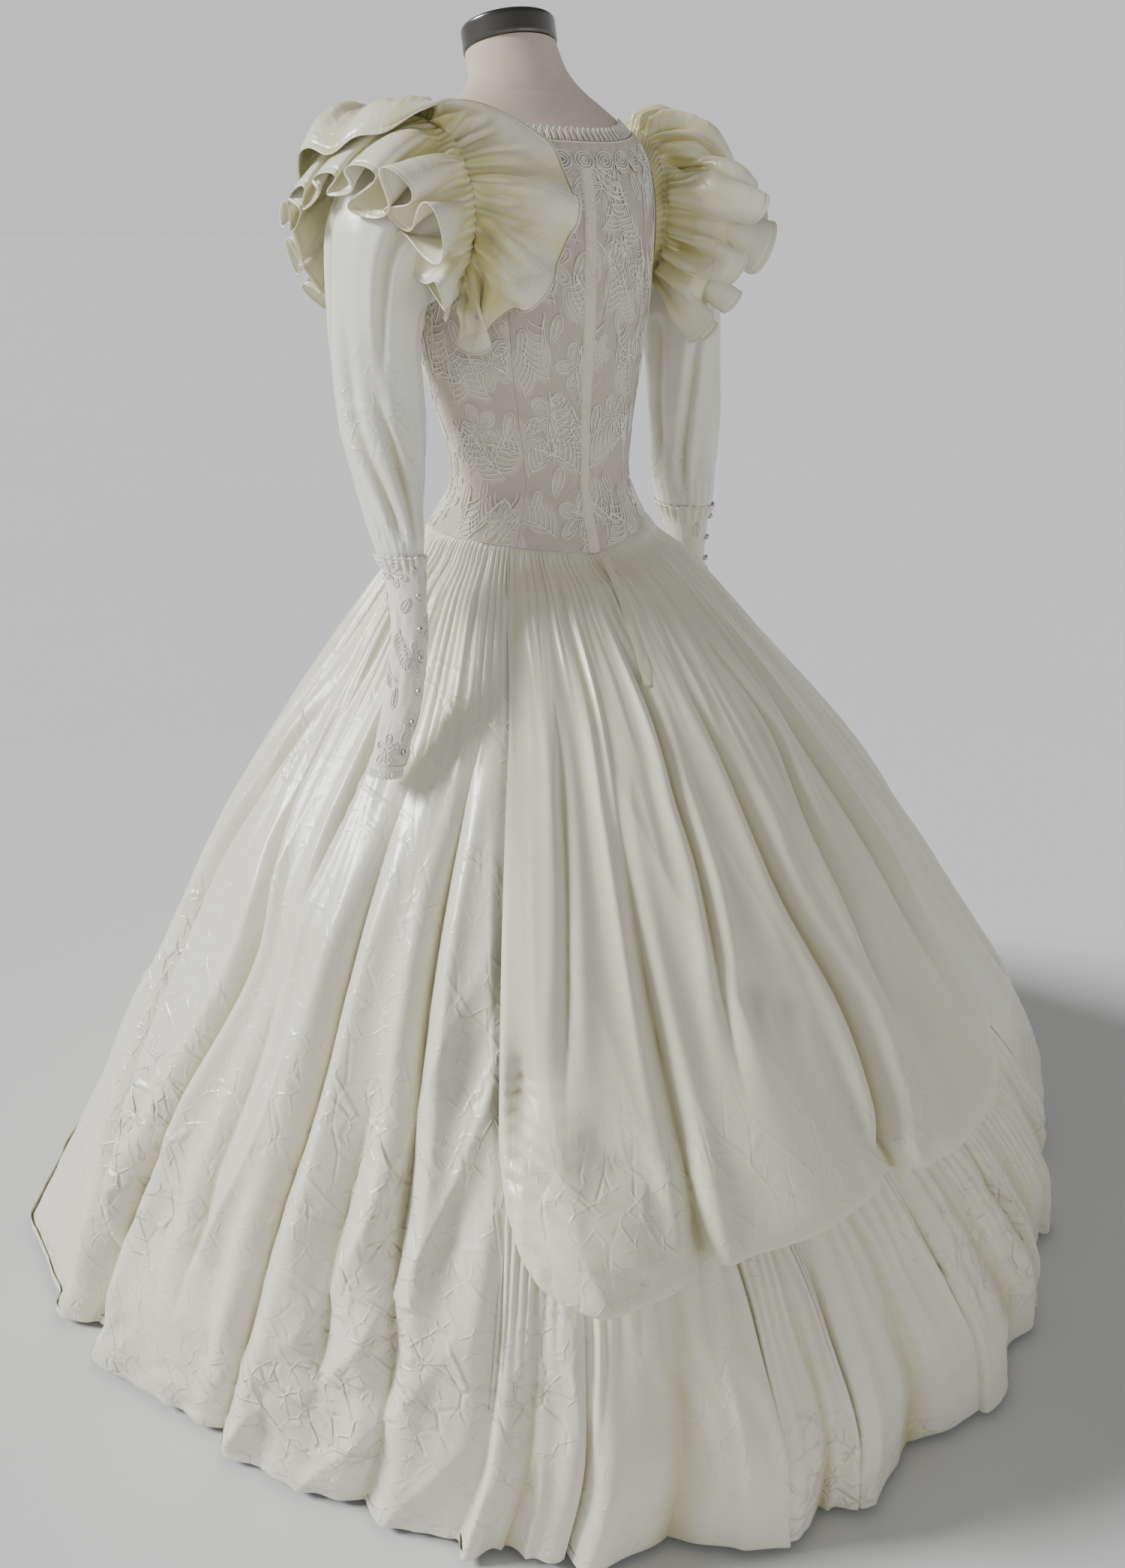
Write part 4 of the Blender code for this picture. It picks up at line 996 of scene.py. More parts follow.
def lace_cloth(name, ground, thread, scale):
    """Lace net over a lining, denser and paler inside the leaves and petals."""
    material, tree, shader, place = new_material(name)
    fill = point_value(tree, "fold")
    net = use_group(tree, NET, place, scale)
    tone = use_group(tree, TONE, place, 9.0)["Tone"]
    cover = clamped(tree, combine(tree, "MULTIPLY_ADD", net["Thread"], 0.45, fill))
    pale = mix_colours(tree, cover, ground, thread)
    relief = combine(tree, "MULTIPLY_ADD", fill, 1.4, net["Height"])
    set_inputs(tree, shader, {
        "Base Color": mix_colours(tree, combine(tree, "MULTIPLY", tone, 0.18), pale, ground),
        "Roughness": 0.78,
        "Sheen Weight": 0.18,
        "Sheen Roughness": 0.5,
        "Normal": bump(tree, relief, 0.6, 0.0005),
    })
    return material


def cord_thread(name, colour):
    """Twisted cord."""
    material, tree, shader, place = new_material(name)
    twist = add_node(tree, "ShaderNodeTexWave", {"Vector": place, "Scale": 300.0, "Distortion": 2.0},
                     bands_direction="DIAGONAL").outputs["Fac"]
    set_inputs(tree, shader, {
        "Base Color": mix_colours(tree, twist, darker(colour, 0.86), colour),
        "Roughness": 0.7,
        "Sheen Weight": 0.15,
        "Normal": bump(tree, twist, 0.4, 0.0004),
    })
    return material


def jersey(name, colour):
    """Fine knit cover of the form, slightly soiled."""
    material, tree, shader, place = new_material(name)
    tone = use_group(tree, TONE, place, 11.0)["Tone"]
    knit = use_group(tree, WEAVE, place, 230.0)["Height"]
    soiled = tuple(value * share for value, share in zip(colour, (0.88, 0.84, 0.80)))
    set_inputs(tree, shader, {
        "Base Color": mix_colours(tree, tone, soiled, colour),
        "Roughness": 0.85,
        "Sheen Weight": 0.2,
        "Normal": bump(tree, knit, 0.35, 0.0006),
    })
    return material


def brushed(name, colour, roughness):
    """Dark brushed metal with lines that run round it."""
    material, tree, shader, place = new_material(name)
    stretched = add_node(tree, "ShaderNodeMapping", {"Vector": place, "Scale": (3.0, 3.0, 500.0)}).outputs[0]
    lines = clouds(tree, stretched, 4.0, 3.0)
    set_inputs(tree, shader, {
        "Base Color": mix_colours(tree, lines, darker(colour, 0.75), colour),
        "Roughness": remap(tree, lines, 0.0, 1.0, roughness - 0.06, roughness + 0.1),
        "Metallic": 1.0,
        "Anisotropic": 0.5,
        "Normal": bump(tree, lines, 0.15, 0.0003),
    })
    return material


def painted(name, colour):
    """Satin paint with a faint orange peel."""
    material, tree, shader, place = new_material(name)
    peel = clouds(tree, place, 260.0, 2.0)
    worn = use_group(tree, TONE, place, 14.0)["Tone"]
    pale = tuple(value * 1.5 for value in colour)
    set_inputs(tree, shader, {
        "Base Color": mix_colours(tree, worn, colour, pale),
        "Roughness": remap(tree, worn, 0.0, 1.0, 0.36, 0.5),
        "Normal": bump(tree, peel, 0.12, 0.0004),
    })
    return material


def pearl(name, colour):
    """Pearly silvered button."""
    material, tree, shader, place = new_material(name)
    sheen = clouds(tree, place, 160.0, 2.0)
    set_inputs(tree, shader, {
        "Base Color": mix_colours(tree, sheen, darker(colour, 0.7), colour),
        "Metallic": 0.85,
        "Roughness": 0.22,
        "Coat Weight": 0.5,
        "Normal": bump(tree, sheen, 0.2, 0.0003),
    })
    return material


IVORY = (0.81, 0.795, 0.675)
# Colour of the painted shade deep in the skirt's folds
IVORY_PAINTED_SHADE = (0.56, 0.505, 0.29)
# The second colour of each taffeta is its painted shade in the folds
SKIRT_TAFFETA = taffeta("skirt_taffeta", IVORY, IVORY_PAINTED_SHADE, 24.0, 0.0036, 0.30)
# The drape's own colour is painted a little darker and yellower than the skirt's, as shade
DRAPE_TAFFETA = taffeta("drape_taffeta", (0.775, 0.76, 0.61), (0.52, 0.465, 0.25), 26.0, 0.0012, 0.32)
RUFFLE_TAFFETA = taffeta("ruffle_taffeta", (0.82, 0.81, 0.66), (0.60, 0.54, 0.23), 30.0, 0.0018, 0.29)
SLEEVE_TAFFETA = taffeta("sleeve_taffeta", (0.84, 0.835, 0.755), (0.62, 0.58, 0.40), 24.0, 0.0022, 0.32)
LAP_TAFFETA = taffeta("lap_taffeta", (0.70, 0.65, 0.55), (0.56, 0.50, 0.41), 34.0, 0.004, 0.5)
BODICE_LACE = lace_cloth("bodice_lace", (0.52, 0.46, 0.385), (0.72, 0.67, 0.58), 620.0)
CUFF_LACE = lace_cloth("cuff_lace", (0.86, 0.83, 0.71), (0.93, 0.91, 0.82), 520.0)
LACE_CORD = cord_thread("lace_cord", (0.90, 0.88, 0.80))
PICOT_THREAD = cord_thread("picot_thread", (0.86, 0.83, 0.75))
FORM_JERSEY = jersey("form_jersey_cover", (0.62, 0.53, 0.45))
CAP_STEEL = brushed("cap_steel", (0.15, 0.145, 0.14), 0.20)
STAND_PAINT = painted("stand_paint", (0.030, 0.030, 0.032))
BUTTON_PEARL = pearl("button_pearl", (0.66, 0.65, 0.62))


def place_piece(item, node, slot):
    """Ties a piece to the part: it rides with it, stands for its solid and takes a finish."""
    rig.ride(item, "root")
    if node:
        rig.replaces(item, node)
    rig.slot(item, slot)
    return item


# Form

def form_torso():
    """The form's knit cover, with a seam down its back and one round its neck."""
    heights = np.concatenate([np.linspace(TORSO_FOOT_Z, 1.40, 56), np.linspace(1.405, NECK_TOP[1], 44)])
    phi = np.linspace(0.0, 360.0, 96, endpoint=False)[:, None]
    z = heights[None, :]
    seam = np.exp(-((phi + 180.0) % 360.0 - 180.0) ** 2 / 0.7)
    ring = bell(z, NECK_SEAM_Z, 0.0012)
    out = -0.0010 - 0.0008 * ring - 0.0006 * seam * smoothstep(z, 1.43, 1.44)
    grid = body_surface(phi, z, out)
    foot = body_surface(phi, z[:, :1] + 0.0 * phi, -0.03)
    core = np.broadcast_to(np.array([0.0, 0.0, TORSO_FOOT_Z]), foot.shape)
    grid = np.concatenate([core, foot, grid], 1)
    item = sheet_mesh("torso_cover", grid, FORM_JERSEY, closed=True)
    place_piece(item, "form_torso", "form_jersey")


def form_neck_cap():
    """Steel cap on the neck, rounded off at both edges."""
    y, z, tilt = NECK_TOP
    lean = math.radians(tilt)
    up = np.array([0.0, -math.sin(lean), math.cos(lean)])
    back = np.array([0.0, math.cos(lean), math.sin(lean)])
    radius = CAP_RADIUS
    height = CAP_HEIGHT
    profile = [(0.0, 0.0), (0.0, radius - 0.002), (0.0006, radius - 0.0006), (0.0014, radius)]
    profile += [(level, radius) for level in np.linspace(0.004, height - 0.004, 8)]
    profile += [(height - 0.0022, radius - 0.0004), (height - 0.0010, radius - 0.0014),
                (height - 0.0003, radius - 0.0030), (height, radius - 0.0050)]
    profile += [(height, radius * share) for share in (0.75, 0.5, 0.25, 0.0)]
    turn = np.linspace(0.0, 2 * math.pi, 96, endpoint=False)[:, None, None]
    level = np.array([row[0] for row in profile])[None, :, None] + SEAM_GAP
    reach = np.array([row[1] for row in profile])[None, :, None]
    side = np.array([1.0, 0.0, 0.0])
    grid = np.array([0.0, y, z]) + up * level + reach * (back * np.cos(turn) + side * np.sin(turn))
    item = sheet_mesh("neck_cap_shell", grid, CAP_STEEL, closed=True, centre=(0.0, y))
    item.data.set_sharp_from_angle(angle=math.radians(40))
    place_piece(item, "form_neck_cap", "brushed_steel")


def stand_finish():
    """The pole and base keep their solids and get their paint."""
    for node in ("form_pole", "form_base"):
        item = bpy.data.objects[node]
        item.data.materials.clear()
        item.data.materials.append(STAND_PAINT)


# Bodice

def armhole_angle(z):
    share = (z - ARMHOLE_Z) / ARMHOLE_HALF_HEIGHT
    return ARMHOLE_HALF_ANGLE * np.sqrt(np.clip(1.0 - share * share, 0.0, 1.0))


def neckline_angle(z, low):
    share = np.clip((z - low) / (SHOULDER_Z - low), 0.0, 0.98)
    return np.degrees(np.arcsin(share ** (1.0 / 3.0)))


def centre_back_edge(z):
    return BODICE_SEAM + 0.0 * z


def princess_back_centre(z):
    return PRINCESS_BACK - BODICE_SEAM + 0.0 * z


def princess_back_side(z):
    return np.maximum(neckline_angle(z, NECK_BACK_Z), PRINCESS_BACK) + BODICE_SEAM


def side_seam_back(z):
    return 90.0 - BODICE_SEAM - armhole_angle(z)


def side_seam_front(z):
    return 90.0 + BODICE_SEAM + armhole_angle(z)


def princess_front_side(z):
    return np.minimum(180.0 - neckline_angle(z, NECK_FRONT_Z), PRINCESS_FRONT) - BODICE_SEAM


def princess_front_left(z):
    return PRINCESS_FRONT + BODICE_SEAM + 0.0 * z


def princess_front_right(z):
    return 360.0 - PRINCESS_FRONT - BODICE_SEAM + 0.0 * z


LACE_OUT = EASE + CLOTH
BODICE_PANELS = (
    ("bodice_centre_back_left", centre_back_edge, princess_back_centre, NECK_BACK_Z, 30, 1.0),
    ("bodice_centre_back_right", centre_back_edge, princess_back_centre, NECK_BACK_Z, 30, -1.0),
    ("bodice_side_back_left", princess_back_side, side_seam_back, SHOULDER_TOP_Z, 42, 1.0),
    ("bodice_side_back_right", princess_back_side, side_seam_back, SHOULDER_TOP_Z, 42, -1.0),
    ("bodice_side_front_left", side_seam_front, princess_front_side, SHOULDER_TOP_Z, 42, 1.0),
    ("bodice_side_front_right", side_seam_front, princess_front_side, SHOULDER_TOP_Z, 42, -1.0),
    ("bodice_centre_front", princess_front_left, princess_front_right, NECK_FRONT_Z, 60, 1.0),
)


def petal(length, width, turn, shift=0.0, steps=16):
    """A closed petal from its root outwards."""
    t = np.linspace(0.0, 2 * math.pi, steps, endpoint=False)
    along = length * (0.5 - 0.5 * np.cos(t)) + shift
    across = width * np.sin(t) * (0.55 + 0.45 * (0.5 - 0.5 * np.cos(t)))
    return np.stack([along * math.cos(turn) - across * math.sin(turn),
                     along * math.sin(turn) + across * math.cos(turn)], 1)


def flower(size, turn):
    """Five double petals round an eye."""
    runs = []
    for index in range(5):
        way = turn + index * 2 * math.pi / 5
        runs.append((petal(size, size * 0.36, way, size * 0.14), True))
        runs.append((petal(size * 0.62, size * 0.19, way, size * 0.22, 10), True))
    t = np.linspace(0.0, 2 * math.pi, 8, endpoint=False)
    runs.append((np.stack([np.cos(t), np.sin(t)], 1) * size * 0.13, True))
    return runs


def plume(size, turn, hand):
    """A curved stem with nested arcs that open from it like a feather."""
    runs = []
    t = np.linspace(0.0, 1.0, 22)
    stem = np.stack([size * 2.6 * t, size * hand * 0.9 * t**2], 1)
    runs.append((stem, False))
    for index in range(8):
        start = 0.06 + 0.115 * index
        root = np.array([size * 2.6 * start, size * hand * 0.9 * start**2])
        reach = size * (1.25 - 0.07 * index)
        s = np.linspace(0.0, 1.0, 12)
        arc = root + np.stack([reach * (0.95 * s - 0.10 * s**2),
                               hand * reach * (-1.25 * s + 0.62 * s**2)], 1)
        runs.append((arc, False))
        if index % 2:
            arc = root + np.stack([reach * 0.75 * s, hand * reach * (0.80 * s - 0.35 * s**2)], 1)
            runs.append((arc, False))
    spin = np.array([[math.cos(turn), math.sin(turn)], [-math.sin(turn), math.cos(turn)]])
    return [(run @ spin, closed) for run, closed in runs]


def leaf(size, turn):
    """A pointed leaf with its middle vein."""
    runs = [(petal(size * 1.35, size * 0.34, turn, 0.0, 16), True)]
    t = np.linspace(0.08, 0.86, 7)
    runs.append((np.stack([size * 1.35 * t * math.cos(turn), size * 1.35 * t * math.sin(turn)], 1), False))
    return runs


def lace_motifs(seed, width, low, high):
    """Motifs of a corded lace laid in a half drop: (across, up, size, turn, kind, hand)."""
    random = np.random.default_rng(seed)
    motifs = []
    columns = int(width / LACE_STEP) + 2
    for column in range(-columns, columns + 1):
        z = low - 0.02 + (0.5 * LACE_RISE if column % 2 else 0.0)
        index = 0
        while z < high + 0.03:
            kind = ("flower", "plume", "leaf", "plume")[(index + column) % 4]
            size = LACE_SIZES[kind] * random.uniform(0.85, 1.2)
            turn = random.uniform(-0.5, 0.5) + (0.0 if kind == "flower" else math.pi / 2)
            if kind == "plume":
                turn += random.choice([-0.6, 0.6])
            motifs.append((column * LACE_STEP + random.uniform(-0.006, 0.006), z, size, turn, kind,
                           random.choice([-1.0, 1.0])))
            z += LACE_RISE * random.uniform(0.9, 1.1)
            index += 1
    return motifs


def motif_runs(kind, size, turn, hand):
    if kind == "flower":
        return flower(size, turn)
    if kind == "plume":
        return plume(size, turn, hand)
    return leaf(size, turn)


def motif_fill(across, up, motifs):
    """1 inside a flower or leaf, 0 on the open net."""
    fill = np.zeros(across.shape)
    for x, z, size, turn, kind, hand in motifs:
        dx = across - x
        dz = up - z
        reach = np.hypot(dx, dz)
        way = np.arctan2(dz, dx)
        if kind == "flower":
            limit = size * (0.55 + 0.60 * np.abs(np.cos(2.5 * (way - turn))))
            inside = smoothstep(limit - reach, -0.002, 0.003)
        elif kind == "leaf":
            along = dx * math.cos(turn) + dz * math.sin(turn)
            side = np.abs(-dx * math.sin(turn) + dz * math.cos(turn))
            span = np.clip(along / (1.35 * size), 0.0, 1.0)
            inside = smoothstep(size * 0.34 * np.sin(np.pi * span) - side, -0.001, 0.003) * (along > 0)
        else:
            along = dx * math.cos(turn) + dz * math.sin(turn)
            side = (-dx * math.sin(turn) + dz * math.cos(turn)) * -hand
            limit = size * 0.8 * np.sin(np.pi * np.clip(along / (2.6 * size), 0.0, 1.0))
            inside = 0.8 * smoothstep(limit - np.abs(side - 0.2 * size), -0.002, 0.004) * (along > 0)
        fill = np.maximum(fill, inside)
    return fill


def split_runs(run, inside, closed):
    """The stretches of a run that lie inside a panel."""
    if inside.all():
        return [(run, closed)]
    if closed:
        first = int(np.argmin(inside))
        run = np.roll(run, -first, axis=0)
        inside = np.roll(inside, -first)
    pieces = []
    start = None
    for index, here in enumerate(inside):
        if here and start is None:
            start = index
        if not here and start is not None:
            pieces.append((run[start:index], False))
            start = None
    if start is not None:
        pieces.append((run[start:], False))
    return [(piece, ends) for piece, ends in pieces if len(piece) > 2]


def finer(run, closed, step=0.0035):
    """More points along a run, at about one step."""
    ends = np.concatenate([run, run[:1]]) if closed else run
    lengths = np.concatenate([[0.0], np.cumsum(np.linalg.norm(np.diff(ends, axis=0), axis=1))])
    count = max(4, int(lengths[-1] / step))
    at = np.linspace(0.0, lengths[-1], count, endpoint=not closed)
    return np.stack([np.interp(at, lengths, ends[:, axis]) for axis in range(2)], 1)


def bodice_panel(name, first, last, top, columns, sign, seed):
    """A lace panel with its corded pattern."""
    rows = 110
    u = np.linspace(0.0, 1.0, columns)[:, None]
    level = np.linspace(0.0, 1.0, rows)[None, :]
    reading = WAIST_BACK_Z + (top - WAIST_BACK_Z) * level
    phi = first(reading) + (last(reading) - first(reading)) * u
    z = waist_z(phi) + (top - waist_z(phi)) * level
    centre = 0.5 * (first(reading) + last(reading))
    radius = BODY("half_width", z)
    across = np.radians(phi - centre) * radius
    width = float(np.abs(across).max())
    motifs = lace_motifs(seed, width, WAIST_BACK_Z, top)
    fill = motif_fill(across, z, motifs)
    from_edge = np.minimum(np.abs(phi - first(reading)), np.abs(last(reading) - phi))
    from_seam = from_edge * np.pi / 180.0 * radius
    roll = 0.0009 * smoothstep(from_seam, 0.0, 0.004) - 0.0009
    pull = 0.0009 * noise(across * 30.0, z * 24.0, seed + 5) * smoothstep(from_seam, 0.0, 0.02)
    stitch = -0.0005 * bell(from_seam, 0.0075, 0.0008)
    grid = body_surface(sign * phi, z, LACE_OUT + roll + pull + stitch + 0.0003 * fill)
    panel = sheet_mesh(name + "_lace", grid, BODICE_LACE, fold=fill)
    place_piece(panel, name, "corded_lace")
    cords = Cords()
    for x, up, size, turn, kind, hand in motifs:
        for run, closed in motif_runs(kind, size, turn, hand):
            run = finer(run + np.array([x, up]), closed)
            height = np.clip(run[:, 1], WAIST_BACK_Z, top)
            middle = 0.5 * (first(height) + last(height))
            angle = middle + np.degrees(run[:, 0] / BODY("half_width", height))
            edge = np.degrees(0.0028 / BODY("half_width", height))
            inside = (angle > first(height) + edge) & (angle < last(height) - edge)
            inside &= (run[:, 1] > waist_z(angle) + 0.002) & (run[:, 1] < top - 0.002)
            inside &= run[:, 1] < neck_z(angle) - 0.003
            stacked = np.concatenate([run, angle[:, None]], 1)
            for piece, ends in split_runs(stacked, inside, closed):
                seat = body_surface(sign * piece[:, 2], piece[:, 1], LACE_OUT + 0.0011)
                normals = seat - body_surface(sign * piece[:, 2], piece[:, 1], -0.01)
                cords.add(seat, normals, CORD_RADIUS, ends)
    cord = cords.build(name + "_cords", LACE_CORD)
    place_piece(cord, None, "corded_lace")
    return panel, cord


def zip_lap():
    """Folded strip over the zip, with a row of stitches near each edge."""
    top = NECK_BACK_Z - 0.4 * NECK_LACE_DEPTH
    u = np.linspace(-1.0, 1.0, 33)[:, None]
    level = np.linspace(0.0, 1.0, 170)[None, :]
    phi = LAP_HALF_ANGLE * u + 0.0 * level
    z = waist_z(phi) + (top - waist_z(phi)) * level
    edge = 1.0 - np.abs(u)
    out = LACE_OUT + 0.0001 + 0.0019 * smoothstep(edge, 0.0, 0.12)
    out = out - 0.0006 * bell(edge, LAP_STITCH, 0.05)
    ripple = 0.0006 * noise(u * 1.6, z * 16.0, 71) + 0.0006 * noise(u * 2.5 + 4.0, z * 42.0, 72)
    out = out + ripple * edge
    grid = body_surface(phi, z, out)
    # Painted shade along the dent of each row of stitches
    fold = 0.35 * bell(edge, LAP_STITCH, 0.06) + 0.0 * z
    item = sheet_mesh("zip_lap_cover", grid, LAP_TAFFETA, fold=fold)
    return place_piece(item, "zip_lap", "taffeta")


def neck_lace(node, start, end, clear):
    """Scalloped lace tongues with standing picot loops."""
    out = LACE_OUT + clear + 0.0006
    u = np.linspace(0.0, 1.0, 181)[:, None]
    phi = start + (end - start) * u
    t = np.linspace(0.0, 1.0, 18)[None, :]
    scallop = np.abs(np.sin(np.pi * u * NECK_TONGUES)) ** 0.7
    low = neck_z(phi) - NECK_LACE_DEPTH * (0.45 + 0.40 * scallop)
    high = neck_z(phi) + 0.3 * NECK_LACE_STAND
    z = low + (high - low) * t
    petals = np.abs(np.sin(np.pi * u * NECK_TONGUES * 2))
    fill = 0.5 * smoothstep(petals, 0.2, 0.7) * np.sin(np.pi * t)
    curl = 0.0014 * noise(u * 22.0, 2.0 * t, 131) * (1.0 - t)
    lie = clear * smoothstep(1.0 - t, 0.0, 0.8)
    grid = body_surface(phi, z, out - lie + 0.0006 + 0.0005 * fill + curl)
    item = sheet_mesh(node + "_net", grid, BODICE_LACE, fold=fill)
    place_piece(item, node, "corded_lace")
    cords = Cords()
    for share, radius in ((0.0, 0.0010), (0.10, 0.0007), (0.97, 0.0009)):
        index = int(round(share * 17))
        run = grid[:, index] + 0.0
        run[:, 2] = (low + (high - low) * share)[:, 0]
        cords.add(run, run - body_surface(phi[:, 0], z[:, 0], -0.01), radius)
    for tongue in range(NECK_TONGUES):
        middle = (tongue + 0.5) / NECK_TONGUES
        for size in (0.0090, 0.0060, 0.0030):
            a = np.linspace(0.0, 2 * math.pi, 14, endpoint=False)
            angle = start + (end - start) * middle + np.degrees(size * 1.15 * np.cos(a) / 0.13)
            height = neck_z(angle) - NECK_LACE_DEPTH * 0.46 + size * np.sin(a)
            run = body_surface(angle, height, out + 0.0006)
            cords.add(run, run - body_surface(angle, height, -0.01), 0.0010, True)
    for loop in range(NECK_LOOPS):
        a = np.linspace(-0.25 * math.pi, 1.25 * math.pi, 10)
        middle = start + (end - start) * (loop + 0.5) / NECK_LOOPS
        angle = middle + np.degrees(0.0026 * np.cos(a) / 0.12)
        height = neck_z(angle) + 0.3 * NECK_LACE_STAND + 0.0062 + 0.0080 * np.sin(a)
        run = body_surface(angle, height, out + 0.0003 * math.sin(loop * 2.4))
        cords.add(run, run - body_surface(angle, height, -0.01), 0.00105)
    cord = cords.build(node + "_cords", PICOT_THREAD)
    place_piece(cord, None, "corded_lace")
    return item, cord


# Skirts

def waist_top(phi):
    return waist_z(phi) - SKIRT_TOP_GAP


def side_fade(phi):
    across = np.abs((phi + 180.0) % 360.0 - 180.0)
    return np.clip(np.abs(across - PANEL_EDGE) / EDGE_FADE, 0.0, 1.0)


def panel_shares(rows, length):
    """Shares down a panel, closer together at the hem so that its stitching shows."""
    last = 1.0 - HEM_SPAN / length
    body = np.linspace(0.0, last, rows, endpoint=False)
    return np.concatenate([body, np.linspace(last, 1.0, HEM_ROWS)])[None, :]


def gathers(phi, share, seed):
    """Fine gathers from the waist, which run together into fewer and softer ones."""
    drift = 0.8 * noise(phi / 6.0, share * 3.0, seed)
    fine = np.abs(np.sin(np.pi * (phi / 2.3 + drift)))
    middle = ridges(phi / 3.1 + 0.3 * drift, share * 1.6, seed + 1, 1.8)
    broad = ridges(phi / 6.5, share * 1.2, seed + 2, 1.8)
    fine_end = 0.17 + 0.12 * noise(phi / 2.0, 0.0, seed + 3)
    middle_end = 0.42 + 0.15 * noise(phi / 4.0, 0.0, seed + 4)
    near = smoothstep(fine_end - share, 0.0, 0.18)
    upper = smoothstep(share, 0.0, 0.07) * smoothstep(middle_end - share, 0.0, 0.35)
    lower = smoothstep(share, 0.08, 0.30) * smoothstep(0.95 - share, 0.0, 0.5)
    fine_depth, middle_depth, broad_depth = GATHER_DEPTHS
    return fine_depth * fine * near + middle_depth * middle * upper + broad_depth * broad * lower


def drag_lines(across, z, share, sizes, bend_seed, line_seed):
    """Long faint lines where the cloth's own weight pulls it."""
    depth, spacing, bend, length = sizes
    drift = across / spacing + bend * noise(across / 0.30, z / 0.45, bend_seed)
    return depth * ridges(drift, z / length, line_seed) * smoothstep(share, 0.2, 0.5)


def hem_stitch(z):
    """Dent of the row of stitches that holds the hem."""
    return 0.0007 * bell(z, HEM_STITCH_Z, 0.0013)


def leave_body(angle, z, share, body_out, skirt_out):
    """Starts a skirt in the waist seam, and hands it over from the body to the skirt sections."""
    seam = smoothstep(share, 0.0, 0.010)
    body_out = EASE + (body_out - EASE) * seam
    at = smoothstep(share, 0.0, WAIST_SHARE)[..., None]
    return body_surface(angle, z, body_out) * (1.0 - at) + skirt_surface(angle, z, skirt_out) * at


def fold_painted_shade(out):
    """How deep in a fold each point lies, for the painted shade, darker and yellower, that the cloth takes there."""
    smooth = out.copy()
    for _ in range(14):
        smooth[1:-1] = 0.25 * smooth[:-2] + 0.5 * smooth[1:-1] + 0.25 * smooth[2:]
    return np.clip((smooth - out) / 0.010, 0.0, 1.0)


def full_panel(node, start, end, columns, lines, seed, trims):
    """A full length gathered panel."""
    share = panel_shares(158, 0.97)
    u = np.linspace(0.0, 1.0, columns)[:, None]
    phi = start + (end - start) * u
    top = waist_z(phi) + 0.0005
    z = top + (HEM_Z - top) * share
    angle = seam_angle(u, start, end, z, trims)
    fade = side_fade(phi)
    grown = np.minimum(1.0, share / 0.7)
    wave = fold_wave(phi, FOLDS_PER_DEGREE, FOLD_PHASE)
    across = np.radians(angle - 0.5 * (start + end)) * skirt_radius(z)
    fullness = 0.20 + 0.20 * noise(phi / 17.0, 0.0, 507)
    swell = FOLD_DEPTH * fullness * (wave - FOLD_TROUGH) * fade + EDGE_OUT * (1.0 - fade)
    out = grown * swell + GATHER_OUT * np.clip(1.0 - share / GATHER_LENGTH, 0.0, 1.0)
    near_edge = smoothstep(np.minimum(u, 1.0 - u), 0.0, 0.035)
    line_angle = angle - 360.0 if start > 180.0 else angle
    out = out + creases(line_angle, z, lines) * near_edge
    out = out + gathers(phi, share, seed) * near_edge
    out = out + drag_lines(across, z, share, PANEL_DRAG, seed + 63, seed + 62) * near_edge
    low = smoothstep(share + 0.10 * noise(across / 0.16, 0.0, seed + 9), 0.36, 0.72)
    patch = 0.45 + 0.55 * smoothstep(noise(across / 0.15, z / 0.17, seed + 8), -0.40, 0.30)
    crush = (0.22 + 0.78 * low) * patch
    out = out + near_edge * crush * crushed_cloth(across, z, PANEL_CRUSH, seed + 10, seed + 30)
    out = out - hem_stitch(z)
    hem = smoothstep(HEM_STITCH_Z + 0.010 - z, 0.0, 0.012)
    ripple = np.sin(across / 0.013 + 3.0 * noise(across / 0.05, 0.0, seed + 61))
    out = out + 0.0008 * hem * near_edge * ripple
    grid = leave_body(angle, z, share, WAIST_OUT + gathers(phi, share, seed), out)
    # Painted shade: the cloth is darker and yellower where it lies deep in a fold
    painted_shade = fold_painted_shade(out)
    item = sheet_mesh(node + "_cloth", turn_under(grid, HEM_DEPTH), SKIRT_TAFFETA,
                      fold=with_hem(painted_shade), crush=with_hem(crush))
    return place_piece(item, node, "taffeta")


def back_panel():
    """Plain panel under the drape."""
    u = np.linspace(0.0, 1.0, 80)[:, None]
    share = np.linspace(0.0, 1.0, 50)[None, :]
    phi = -PANEL_EDGE + 2 * PANEL_EDGE * u
    top = waist_top(phi)
    z = top + (UNDERSKIRT_FOOT_Z - top) * share
    angle = seam_angle(u, -PANEL_EDGE, PANEL_EDGE, z)
    grid = leave_body(angle, z, share, EASE, -UNDERSKIRT_DEPTH + 0.0 * angle)
    # Painted shade: the whole panel, under the drape, is mixed a little towards the taffeta's fold shade
    item = sheet_mesh("skirt_back_cloth", grid, SKIRT_TAFFETA, fold=0.2)
    return place_piece(item, "skirt_back", "taffeta")


def flounce_fold(t, crest):
    """Section of one fold: a steep side up to its crest, then a long slope down."""
    rise = np.sin(0.5 * np.pi * np.clip(t / crest, 0.0, 1.0)) ** 0.9
    fall = 1.0 - np.clip((t - crest) / (1.0 - crest), 0.0, 1.0) ** 1.7
    return np.where(t < crest, rise, fall)


